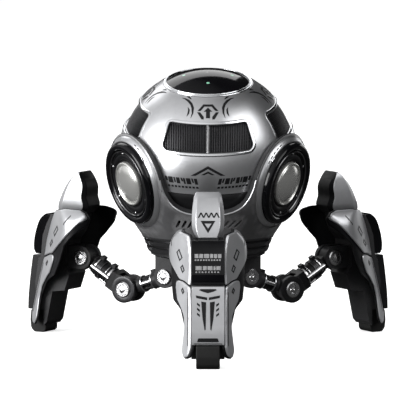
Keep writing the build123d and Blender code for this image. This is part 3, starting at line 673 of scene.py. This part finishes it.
def window_grille():
    """Backing with upright ribs and finer rows across, for the front window."""
    grille = bmesh.new()
    merge(grille, plate(densify(fillet_arcs(WINDOW, WINDOW_CORNER, 6), 1.5), 0.0, 0.4, 0.0,
                        lambda x, z, h: on_ball(x, z, GRILLE_BACK_R + h)))
    count = int(LOW_X / RIB_PITCH)
    for k in range(-count, count + 1):
        x = k * RIB_PITCH
        top = rib_top(x)
        if k and top - LOW_Z > 1.5:
            merge(grille, rib((x, LOW_Z + 0.2), (x, top), RIB_R, 0.30, 0.8))
    for k in range(1, ROWS):
        z = LOW_Z + (HIGH_Z - LOW_Z) * k / ROWS
        half = window_half_width(z) - 0.35
        merge(grille, rib((-half, z), (half, z), ROW_R, 0.13, 0.4))
    return grille


def windows():
    """Polished lip, ribbed grille and middle bar in each of the four windows."""
    outline = densify(fillet_arcs(WINDOW, WINDOW_CORNER, 6), 1.2)
    path = [on_ball(x, z, BALL_R) for x, z in outline]
    lip = sweep(path, [point.normalized() for point in path], LIP_SECTION)
    bar = rib((0, LOW_Z + 0.15), (0, HIGH_Z - 0.15), BAR_R, 0.55, 1.2)
    grille = window_grille()
    turns = [BALL @ turned(azimuth) for azimuth in WINDOW_AZIMUTHS]
    lips, ribs, middles = [joined([(part, turn) for turn in turns]) for part in (lip, grille, bar)]
    write_piece("window_lips", lips, CHROME, "ball", "polished_trim")
    write_piece("grille_ribs", ribs, MESH, "ball", "grille_mesh", ["window_grilles"])
    write_piece("grille_bars", middles, GUNMETAL, "ball", "gunmetal_paint")


# ---- top ring and printed marks on the ball
def stroke(points, width, taper):
    """Outline of a line of even middle and thinner ends: taper is the ends' part of its width."""
    left = []
    right = []
    count = len(points)
    for k, point in enumerate(points):
        ahead = Vector(points[min(k + 1, count - 1)])
        behind = Vector(points[max(k - 1, 0)])
        along = (ahead - behind).normalized()
        edge = min(k, count - 1 - k) / max(1, (count - 1) / 2)
        half = width / 2 * (taper + (1 - taper) * min(1.0, 1.6 * edge))
        left.append((point[0] - along.y * half, point[1] + along.x * half))
        right.append((point[0] + along.y * half, point[1] - along.x * half))
    return left + right[::-1]


def mirrored(outlines):
    """Outlines together with their mirror images."""
    return outlines + [[(-x, y) for x, y in outline] for outline in outlines]


PRINT_LIFT = 0.05  # a print stands this far out of its surface and as far into it


def print_on_ball(outlines, latitude, azimuth):
    """Thin printed shapes, drawn in millimetres about a place on the ball, and their place."""
    scale = BALL_R * cos(radians(latitude))

    def place(x, y, h):
        lat = latitude + y / BALL_R * 180 / pi
        return direction(x / scale * 180 / pi, lat) * (BALL_R + h)

    shapes = [(plate(outline, -PRINT_LIFT, PRINT_LIFT, 0.0, place, grid=1.1), None) for outline in outlines]
    return joined(shapes), BALL @ turned(azimuth)


def badge():
    """Generic badge above each window: a notched hexagon ring around a small arrow."""
    outer = [(5.2 * cos(radians(a)), 4.6 * sin(radians(a))) for a in range(0, 181, 60)]
    inner = [(3.7 * cos(radians(a)), 3.1 * sin(radians(a))) for a in range(180, -1, -60)]
    wing = [(5.3, -0.7), (3.8, -0.7), (1.9, -3.2), (1.9, -4.6), (2.9, -4.6)]
    arrow = [(0, 2.1), (2.1, -0.3), (0.95, -0.3), (0.95, -3.9), (-0.95, -3.9), (-0.95, -0.3), (-2.1, -0.3)]
    return [outer + inner, arrow] + mirrored([wing])


def flourishes():
    """Curved tapering lines on both sides of the badge."""
    sweeping = [(16.5, 6.6), (14.0, 6.4), (11.4, 5.4), (9.2, 3.7), (7.9, 1.5), (7.4, -1.4), (7.8, -4.2)]
    long = stroke(sweeping, 1.35, 0.1)
    short = stroke([(10.6, 1.8), (9.6, 0.2), (9.4, -1.8), (9.8, -3.6)], 0.9, 0.1)
    tick = stroke([(13.6, 8.0), (11.8, 7.6), (10.2, 6.7)], 1.0, 0.4)
    return mirrored([long, short, tick])


def chevron(half, rise, width):
    """Upside-down V outline with its point at the middle."""
    inner = half - 1.5 * width
    return [(-half, -rise), (0, 0), (half, -rise), (inner, -rise), (0, -width), (-inner, -rise)]


# Slanted bars of the band: length, gap after it, and the height of its foot.
BAND_BARS = [(1.5, 0.5, -9.4), (0.8, 0.45, -8.6), (2.2, 0.5, -9.4), (0.9, 0.4, -9.4), (0.9, 0.5, -8.2),
             (1.8, 0.5, -9.4), (0.8, 0.4, -9.0), (2.4, 0.5, -9.4), (1.2, 0.5, -8.6)]
BAND_START = 4.6
BAND_TOP = -6.4
BAND_SLANT = 0.8
DOT_PITCH = 1.75


def lower_band():
    """Chevrons and a band of slanted bars and dots below a window."""
    shapes = [chevron(8.4, 5.0, 1.5), [(x, y - 2.6) for x, y in chevron(3.4, 1.9, 1.05)]]
    x = BAND_START
    slants = []
    for length, gap, foot in BAND_BARS:
        top = x + BAND_SLANT
        slants.append([(x, foot), (x + length, foot), (top + length, BAND_TOP), (top, BAND_TOP)])
        x += length + gap
    dots = []
    for k in range(9):
        x = 4.4 + DOT_PITCH * k
        dots.append([(x, -11.5), (x + 1.2, -11.5), (x + 1.4, -10.5), (x + 0.2, -10.5)])
    return shapes + mirrored(slants) + mirrored(dots)


# Half section of the ring round the touch panel, in the ball's own frame.
TOP_LIP = [(20.65, 39.05), (22.35, 39.05), (22.35, 39.35), (22.05, 39.65), (21.75, 39.65), (21.6, 39.3),
           (21.35, 39.3), (21.2, 40.0), (20.95, 40.25), (20.65, 40.1)]
BADGE_LATITUDE = 49.3
BAND_LATITUDE = 13.6


def ball_details():
    """Top ring and printed marks."""
    lip = lathe(rounded(TOP_LIP, 0.12, 3), 128)
    write_piece("top_lip", joined([(lip, BALL)]), CHROME, "ball", "polished_trim", ["top_ring"])
    prints = []
    for azimuth in WINDOW_AZIMUTHS:
        prints.append(print_on_ball(badge() + flourishes(), BADGE_LATITUDE, azimuth))
        prints.append(print_on_ball(lower_band(), BAND_LATITUDE, azimuth))
    write_piece("ball_prints", joined(prints), INK, "ball", "black_plastic", sharp=60)


# ---- leg armour, drawn as the front leg
def hermite(points, at):
    """Smooth curve through points sorted by their first value, read at one value."""
    at = min(max(at, points[0][0]), points[-1][0])
    slopes = []
    for k in range(len(points)):
        first = points[max(k - 1, 0)]
        last = points[min(k + 1, len(points) - 1)]
        slopes.append((last[1] - first[1]) / (last[0] - first[0]))
    for k in range(len(points) - 1):
        start, end = points[k], points[k + 1]
        if at <= end[0]:
            width = end[0] - start[0]
            t = (at - start[0]) / width
            return ((2 * t ** 3 - 3 * t ** 2 + 1) * start[1] + (t ** 3 - 2 * t ** 2 + t) * width * slopes[k]
                    + (-2 * t ** 3 + 3 * t ** 2) * end[1] + (t ** 3 - t ** 2) * width * slopes[k + 1])
    return points[-1][1]


# Half-width of the flared side face, by distance from the axis at floor height.
WING_OUTER = [(74.0, 10.8), (76.8, 14.8), (80.0, 17.8), (83.5, 19.0), (87.5, 18.2), (93.0, 14.8),
              (98.0, 11.2), (101.4, 8.9)]
WING_LEAN = 0.251  # the flare moves inwards by this much for each millimetre of height
SHOULDER = [(45.0, 21.0), (54.0, 20.0), (60.6, 17.2), (65.8, 12.6)]  # half-width at the top, by height
SHOULDER_BLEND = 1.5
# Side-view outlines of a whole wing and of its two silver plates.
WING_ALL = [(84.0, 63.6), (87.2, 57.4), (90.0, 48.0), (91.6, 39.4), (94.4, 29.0), (96.8, 19.0), (98.8, 10.0),
            (98.0, 5.6), (95.2, 4.4), (92.8, 8.0), (91.6, 19.0), (86.6, 27.6), (80.0, 31.6), (76.4, 39.0),
            (73.6, 47.0), (67.6, 53.0), (62.6, 57.0), (61.2, 60.6), (62.8, 63.4), (67.0, 64.8), (76.0, 65.0)]
SILVER_HIGH = [(84.0, 63.3), (87.0, 57.3), (89.7, 48.0), (91.1, 39.8), (89.2, 40.4), (86.4, 41.6),
               (83.4, 41.9), (78.4, 46.2), (75.2, 48.8), (70.4, 53.2), (65.8, 57.9), (62.4, 60.0),
               (61.8, 61.0), (63.2, 63.1), (67.1, 64.5), (76.0, 64.7)]
SILVER_LOW = [(91.2, 38.9), (94.2, 28.8), (96.6, 19.0), (98.6, 10.0), (97.8, 6.0), (95.3, 4.9),
              (93.3, 8.2), (92.4, 19.0), (90.8, 24.5), (87.6, 28.8), (84.4, 32.0), (81.8, 38.0),
              (81.6, 41.0), (84.0, 41.2), (86.2, 40.8), (89.0, 39.6)]
WING_BOXES = [(78.6, 54.5, 5.2, 2.4), (83.0, 47.6, 3.4, 1.9), (86.2, 37.0, 2.6, 1.5)]
WING_LINE = [(90.9, 36.4), (93.2, 27.6), (95.5, 18.4), (97.2, 11.0)]


def wing_half_width(u, z):
    """Outer half-width of the wings: the flared side face, blended into the rounded shoulder."""
    flare = hermite(WING_OUTER, u + WING_LEAN * z)
    shoulder = hermite(SHOULDER, z)
    near = max(SHOULDER_BLEND - abs(flare - shoulder), 0.0) / SHOULDER_BLEND
    return min(flare, shoulder) - near * near * SHOULDER_BLEND / 4


def wing_place(sign):
    """Bend a plate drawn in a leg's side view onto a wing: height is measured inwards."""
    def place(u, z, depth):
        return side(u, z, sign * (wing_half_width(u, z) - depth))
    return place


def parallelogram(u, z, length, height):
    """Small slanted mark in a leg's side view."""
    run = Vector((0.62, -0.78))
    rise = Vector((0.78, 0.62))
    corner = Vector((u, z))
    return [tuple(corner), tuple(corner + run * length), tuple(corner + run * (length - 0.5) + rise * height),
            tuple(corner - run * 0.5 + rise * height)]


def frame_of(outline, width):
    """The sides of a frame inside an outline, each as its own outline."""
    inner = inset(outline, width)
    count = len(outline)
    return [[outline[k], outline[(k + 1) % count], inner[(k + 1) % count], inner[k]] for k in range(count)]


def wings():
    """Silver outer plates over a black liner, with small marks."""
    silver, liner, marks = bmesh.new(), bmesh.new(), bmesh.new()
    for sign in (-1, 1):
        place = wing_place(sign)
        for outline in (SILVER_HIGH, SILVER_LOW):
            merge(silver, plate(rounded(outline, 1.2, 3), 0.02, 1.25, 0.42, place, grid=1.3))
        merge(liner, plate(rounded(WING_ALL, 0.8, 2), 1.0, 2.38, 0.25, place, grid=1.3))
        shapes = []
        for box in WING_BOXES:
            shapes += frame_of(parallelogram(*box), 0.6)
        shapes.append(parallelogram(70.5, 61.6, 6.0, 0.5))
        shapes.append(stroke(WING_LINE, 0.4, 0.8))
        for shape in shapes:
            merge(marks, plate(shape, -0.05, 0.2, 0.0, place, grid=1.5))
    return silver, liner, marks


# Knee cap by height: distance from the axis of its back and front, and half its width.
CAP_BACK = [(62.1, 69.4), (65.8, 66.5), (70.4, 67.7), (76.6, 67.7), (83.2, 71.8)]
CAP_FRONT = [(62.1, 85.2), (65.4, 84.75), (68.6, 83.6), (76.8, 79.5), (82.2, 74.5), (83.2, 73.0)]
CAP_HALF = [(62.1, 5.9), (66.0, 7.6), (72.0, 7.85), (79.0, 7.1), (81.8, 6.5), (83.2, 5.6)]
CAP_LEVELS = 16
# Front faces of the shin plate and the screen panel by height.
PLATE_FRONT = [(12.0, 101.4), (18.0, 101.2), (26.0, 100.4), (33.0, 99.5), (40.0, 98.4)]
SCREEN_FRONT = [(40.7, 96.7), (42.6, 97.75), (47.0, 97.75), (52.6, 96.55), (58.8, 93.9), (61.4, 90.6)]
BLACK_SIDES = (0, 6, 7)  # the cap's back and the two bevels beside it


def knee():
    """Tapering cap, silver on its front and sides and black behind."""
    bm = bmesh.new()
    rings = []
    low_z, high_z = CAP_FRONT[0][0], CAP_FRONT[-1][0]
    for level in range(CAP_LEVELS + 1):
        z = low_z + (high_z - low_z) * level / CAP_LEVELS
        back, front, half = hermite(CAP_BACK, z), hermite(CAP_FRONT, z), hermite(CAP_HALF, z)
        depth = front - back
        edge = 0.74 * half
        outline = [(back, edge), (back + 0.12 * depth, half), (front - 0.20 * depth, half), (front, edge)]
        outline += [(u, -x) for u, x in reversed(outline)]
        rings.append([bm.verts.new(side(u, z, x)) for u, x in outline])
    bm.faces.new(rings[0])
    bm.faces.new(rings[-1][::-1])
    for low, high in zip(rings, rings[1:]):
        for k in range(len(low)):
            after = (k + 1) % len(low)
            face = bm.faces.new((low[k], low[after], high[after], high[k]))
            if k in BLACK_SIDES:
                face.material_index = 1
    return bm


def front_points(curve, high, low, steps):
    """Points down a curved front face, as side-view places."""
    heights = [high + (low - high) * k / steps for k in range(steps + 1)]
    return [(hermite(curve, z), z) for z in heights]


def print_on_front(outlines, curve, height=0.06):
    """Thin shapes drawn in the front view on a curved front face."""
    def place(x, z, h):
        return side(hermite(curve, z) + h, z, x)

    return joined([(plate(outline, -0.2, height, 0.0, place, grid=1.5), None) for outline in outlines])


def bars(rows, height):
    """Rows of plain blocks: each row has its height and the blocks' ends."""
    return [[(a, z), (b, z), (b, z + height), (a, z + height)] for z, blocks in rows for a, b in blocks]


# Side-view outlines: the backs of the screen panel and shin plate, and the whole toe.
SCREEN_BACK = [(93.4, 42.0), (92.6, 50.0), (90.5, 55.6), (87.9, 60.7)]
SCREEN_FOOT = [(96.7, 40.7), (93.6, 40.7)]
PLATE_BACK = [(93.6, 39.95), (95.1, 38.0), (97.0, 26.0), (96.1, 12.0)]
TOE = [(92.1, 11.9), (92.1, 1.6), (93.3, 0.05), (99.4, 0.05), (101.2, 2.0), (101.7, 6.0), (101.2, 11.2),
       (100.4, 11.9)]
SHIN_HALF = 7.9
TOE_HALF = 5.75
FROM_SIDE_VIEW = Matrix(((0, 0, 1, 0), (-1, 0, 0, 0), (0, 1, 0, FLOOR_Z), (0, 0, 0, 1)))


def shin_front():
    """Screen, plate and toe."""
    screen_side = SCREEN_BACK + front_points(SCREEN_FRONT, 61.4, 42.6, 12) + SCREEN_FOOT
    plate_side = PLATE_BACK + front_points(PLATE_FRONT, 12.05, 39.95, 10)
    screen = prism(rounded(screen_side, 0.4, 3), -SHIN_HALF, SHIN_HALF, FROM_SIDE_VIEW)
    face = prism(rounded(plate_side, 0.4, 3), -SHIN_HALF, SHIN_HALF, FROM_SIDE_VIEW)
    foot = prism(rounded(TOE, 0.9, 4), -TOE_HALF, TOE_HALF, FROM_SIDE_VIEW)
    face.normal_update()
    for flank in face.faces:
        flank.material_index = int(abs(flank.normal.x) > 0.9)
    return screen, face, foot


def plate_marks():
    """Notch at the plate's top, slanted bars over two tapering stems, and the slot above the toe."""
    notch = [(-4.4, 38.4), (-2.6, 37.6), (0, 36.9), (2.6, 37.6), (4.4, 38.4), (3.6, 38.9), (-3.6, 38.9)]
    roof = [(0.4, 33.6), (5.6, 34.6), (5.9, 35.9), (0.4, 34.9)]
    stem = [(0.9, 32.6), (3.3, 33.0), (2.6, 24.6), (1.6, 19.0), (1.1, 19.6)]
    ticks = [[(3.9, z), (5.3, z + 1.0), (5.3, z + 2.1), (3.9, z + 1.1)] for z in (25.6, 28.0, 30.4)]
    slot = rounded([(-5.3, 13.5), (5.3, 13.5), (4.7, 15.4), (-4.7, 15.4)], 0.4, 3)
    edge = [(-6.8, 12.5), (6.8, 12.5), (6.8, 12.9), (-6.8, 12.9)]
    return [notch, slot, edge] + mirrored([roof, stem] + ticks)


def cap_marks():
    """Zigzag and an open triangle on the knee cap."""
    teeth = [(-5.0 + 1.25 * k, 71.6 + 2.4 * (k % 2)) for k in range(9)]
    zigzag = [[(a, b), (c, d), (c + 0.75, d), (a + 0.75, b)] for (a, b), (c, d) in zip(teeth, teeth[1:])]
    top = [(-3.6, 70.2), (3.6, 70.2), (1.7, 68.9), (-1.7, 68.9)]
    flank = [(-3.6, 70.2), (-1.7, 68.9), (0, 66.6), (0, 64.4)]
    return zigzag + [top] + mirrored([flank])


# Pale bars of the screen: the height of a row, and its blocks' ends.
SCREEN_BLOCKS = [(53.6, [(-6.4, -4.6), (-4.2, -2.4), (-2.0, 0.6), (1.0, 2.4), (2.8, 4.4), (4.8, 6.4)]),
                 (47.9, [(-6.0, -3.0), (-2.5, -0.6), (-0.2, 2.2), (2.6, 3.6), (4.0, 6.0)])]
SCREEN_DASHES = [(52.3, [(-6.4 + 1.3 * k, -5.6 + 1.3 * k) for k in range(10)]),
                 (46.6, [(-6.0 + 1.5 * k, -5.2 + 1.5 * k) for k in range(8)])]


def leg_prints():
    """Dark marks on the plate and knee cap, and pale bars on the screen."""
    dark = print_on_front(plate_marks(), PLATE_FRONT)
    merge(dark, print_on_front(cap_marks(), CAP_FRONT))
    pale = print_on_front(bars(SCREEN_BLOCKS, 1.9) + bars(SCREEN_DASHES, 0.7), SCREEN_FRONT, height=0.05)
    return dark, pale


def leg_frame(leg, start, end):
    """Frame of a link: origin at its first pivot, z towards its second, x across the leg."""
    first, last = side(*start), side(*end)
    return LEGS[leg] @ axes(first, Vector((1, 0, 0)), last - first)


# Pivots in the side view.
HIP = (22.3, 32.6)
ELBOW = (46.3, 24.75)
SHIN = (71.5, 39.6)
INNER_SPAN = hypot(ELBOW[0] - HIP[0], ELBOW[1] - HIP[1])
OUTER_SPAN = hypot(SHIN[0] - ELBOW[0], SHIN[1] - ELBOW[1])
INNER_BORE = 3.3  # inner radius of the rings on each link
OUTER_BORE = 4.5
PIPE_R = 0.75
PIPE_OFFSET = 5.2  # from the outer link's axis


def collar(radius, bore, start, length, edge=0.25):
    """Ring around a link's barrel."""
    end = start + length
    return lathe(rounded([(bore, start), (radius, start), (radius, end), (bore, end)], edge, 3), 48)


def ribbed(radius, bore, start, length, pitch):
    """Collar with grooves around it."""
    profile = [(bore, start)]
    groove = radius - 0.3
    for k in range(int(length / pitch)):
        at = start + k * pitch
        profile += [(radius, at + 0.05), (radius, at + pitch * 0.55)]
        profile += [(groove, at + pitch * 0.65), (groove, at + pitch * 0.95)]
    profile.append((bore, start + length))
    return lathe(profile, 48)


def arm_details(leg):
    """Collars, sleeves and oil pipes that make the arms look like dampers."""
    inner = leg_frame(leg, HIP, ELBOW)
    outer = leg_frame(leg, ELBOW, SHIN)
    path = [Vector((0, -PIPE_OFFSET, z)) for z in (11.0, 14.0, 18.0, OUTER_SPAN - 9.0)]
    pipe = sweep(path, [Vector((0, -1, 0))] * len(path), round_section(PIPE_R), closed=False)
    ends = [LEGS[leg] @ axes(side(*ELBOW), Vector((0, 0, 1)), Vector((sign, 0, 0))) for sign in (-1, 1)]
    rows = [
        ("inner_collars", "inner_arm", CHROME, "polished_trim",
         [(collar(4.35, INNER_BORE, start, 0.7), inner) for start in (9.0, INNER_SPAN - 10.2)]),
        ("inner_bellows", "inner_arm", BLACK, "black_plastic",
         [(ribbed(3.75, INNER_BORE, 11.2, INNER_SPAN - 23.4, 0.9), inner)]),
        ("outer_collars", "outer_arm", STEEL, "polished_trim",
         [(collar(5.05, OUTER_BORE, 10.6, 1.3), outer),
          (collar(4.95, OUTER_BORE, OUTER_SPAN - 9.4, 0.9), outer),
          (collar(4.85, OUTER_BORE, 13.2, 0.45, 0.1), outer)]),
        ("outer_sleeve", "outer_arm", GRAPHITE, "graphite_paint",
         [(ribbed(5.1, OUTER_BORE, OUTER_SPAN - 12.6, 2.8, 0.9), outer)]),
        ("outer_pipe", "outer_arm", STEEL, "pin_steel", [(pipe, outer)]),
        ("elbow_rims", "outer_arm", GRAPHITE, "graphite_paint",
         [(collar(6.6, 4.15, 5.42, 0.32, 0.15), end) for end in ends]),
    ]
    for name, body, material, slot, parts in rows:
        write_piece(f"{leg}_{name}", joined(parts), material, f"{leg}_{body}", slot)


def legs():
    """Armour and details of all three legs."""
    for leg, place in LEGS.items():
        silver, liner, marks = wings()
        screen, face, foot = shin_front()
        dark, pale = leg_prints()
        rows = [
            ("wing_plates", silver, ARMOUR, "silver_paint", ["side_wings"], {}),
            ("wing_liners", liner, BLACK, "black_plastic", ["side_wings"], {}),
            ("wing_marks", marks, INK, "black_plastic", [], {}),
            ("screen", screen, GLOSS, "gloss_black", ["screen_panel"], dict(sharp=20, bevel=0.5, segments=3)),
            ("plate", face, ARMOUR, "silver_paint", ["shin_plate"],
             dict(sharp=20, bevel=0.45, segments=3, more=(BLACK,))),
            ("foot", foot, RUBBER, "foot_rubber", ["toe"], dict(sharp=30, bevel=0.6, segments=3)),
            ("cap", knee(), ARMOUR, "silver_paint", ["knee_cap"],
             dict(sharp=26, bevel=0.35, segments=3, more=(BLACK,))),
            ("dark_prints", dark, INK, "black_plastic", [], {}),
            ("pale_prints", pale, PALE_INK, "silver_paint", [], {}),
        ]
        for name, part, material, slot, nodes, form in rows:
            bmesh.ops.transform(part, matrix=place, verts=part.verts)
            replaced = [f"{leg}_{one}" for one in nodes]
            write_piece(f"{leg}_{name}", part, material, f"{leg}_shin", slot, replaced, **form)
        arm_details(leg)


drivers()
cradle_rim_painted_light()
windows()
ball_details()
legs()


# ---- stage, lights and camera
LIGHTS = {
    # name: place and size in metres, power in watts
    "key": ((-1.15, -0.66, 0.28), (0.9, 0.9), 31.0),
    "back": ((-0.28, 0.84, 0.72), (1.2, 0.5), 4.2),
    "fill": ((0.98, -0.58, 0.85), (1.0, 0.9), 9.0),
    "rim_left": ((-0.75, 1.15, 0.12), (0.8, 0.6), 0.7),
    "rim_right": ((0.75, 1.15, 0.12), (0.8, 0.6), 2.2),
}
LIT_POINT = Vector((0, 0, 0.03))
FLOOR_SIZE = 6.0
FLOOR_GLOW = 0.64
WHITE = (1.0, 1.0, 1.0, 1.0)
DIM_FLOOR = (0.07, 0.07, 0.07, 1.0)
SKY_LEAN = (-0.70, -0.62, 0.15)  # the direction of the bright side of the sky
SKY_RANGE = {"From Min": -0.20, "From Max": 0.95, "To Min": 0.03, "To Max": 1.60}


def soft_box(name, place, size, power):
    """Rectangular white area light that looks at the object."""
    lamp = bpy.data.lights.new(name, "AREA")
    lamp.shape = "RECTANGLE"
    lamp.size, lamp.size_y = size
    lamp.energy = power
    holder = bpy.data.objects.new(name, lamp)
    holder.location = place
    holder.rotation_euler = (LIT_POINT - Vector(place)).to_track_quat("-Z", "Y").to_euler()
    bpy.context.scene.collection.objects.link(holder)


def by_ray(tree, seen, otherwise, output):
    """Give the output one shader for what the camera sees and another one for light and reflections."""
    path = node(tree, "ShaderNodeLightPath")
    mix = node(tree, "ShaderNodeMixShader")
    tree.links.new(path.outputs["Is Camera Ray"], mix.inputs["Fac"])
    tree.links.new(otherwise, mix.inputs[1])
    tree.links.new(seen, mix.inputs[2])
    tree.links.new(mix.outputs["Shader"], output.inputs["Surface"])


def floor():
    """Wide pale floor under the toes, much darker where the object mirrors it."""
    bm = bmesh.new()
    bmesh.ops.create_grid(bm, x_segments=4, y_segments=4, size=FLOOR_SIZE)
    mesh = bpy.data.meshes.new("floor")
    bm.to_mesh(mesh)
    bm.free()
    tree = PAPER.node_tree
    output = next(n for n in tree.nodes if n.type == "OUTPUT_MATERIAL")
    pale = next(n for n in tree.nodes if n.type == "BSDF_PRINCIPLED")
    pale.inputs["Emission Color"].default_value = WHITE
    pale.inputs["Emission Strength"].default_value = FLOOR_GLOW
    dim = node(tree, "ShaderNodeBsdfDiffuse", {"Color": DIM_FLOOR})
    by_ray(tree, pale.outputs["BSDF"], dim.outputs["BSDF"], output)
    mesh.materials.append(PAPER)
    piece = bpy.data.objects.new("floor", mesh)
    piece.location = (0, 0, FLOOR_Z * MM)
    bpy.context.scene.collection.objects.link(piece)


def world():
    """White to the camera; to the object, bright at the front left and dim elsewhere."""
    sky = bpy.data.worlds.new("studio")
    sky.use_nodes = True
    tree = sky.node_tree
    tree.nodes.clear()
    output = node(tree, "ShaderNodeOutputWorld")
    lit = node(tree, "ShaderNodeBackground")
    seen = node(tree, "ShaderNodeBackground", {"Color": WHITE, "Strength": 1.0})
    coords = node(tree, "ShaderNodeTexCoord")
    lean = node(tree, "ShaderNodeVectorMath", operation="DOT_PRODUCT")
    lean.inputs[1].default_value = SKY_LEAN
    tree.links.new(coords.outputs["Generated"], lean.inputs[0])
    spread = node(tree, "ShaderNodeMapRange", SKY_RANGE)
    tree.links.new(lean.outputs["Value"], spread.inputs["Value"])
    tree.links.new(spread.outputs["Result"], lit.inputs["Strength"])
    by_ray(tree, seen.outputs["Background"], lit.outputs["Background"], output)
    bpy.context.scene.world = sky


CAMERA_DISTANCE = 2.4  # metres
CAMERA_HEIGHT = 5.8  # degrees above the horizon
FIELD = 0.208  # metres across the picture at the object
CAMERA_TARGET = Vector((0, 0, 0.0245))


def camera():
    """Long lens at the front, a little above the object."""
    lens = bpy.data.cameras.new("camera")
    lens.sensor_width = 36.0
    lens.lens = lens.sensor_width * CAMERA_DISTANCE / FIELD
    lens.clip_end = 20.0
    holder = bpy.data.objects.new("camera", lens)
    holder.location = CAMERA_TARGET + direction(0.0, CAMERA_HEIGHT) * CAMERA_DISTANCE
    holder.rotation_euler = (CAMERA_TARGET - holder.location).to_track_quat("-Z", "Y").to_euler()
    bpy.context.scene.collection.objects.link(holder)
    bpy.context.scene.camera = holder


floor()
world()
for name, (place, size, power) in LIGHTS.items():
    soft_box(name, place, size, power)
bpy.context.scene.view_settings.view_transform = "Standard"
camera()
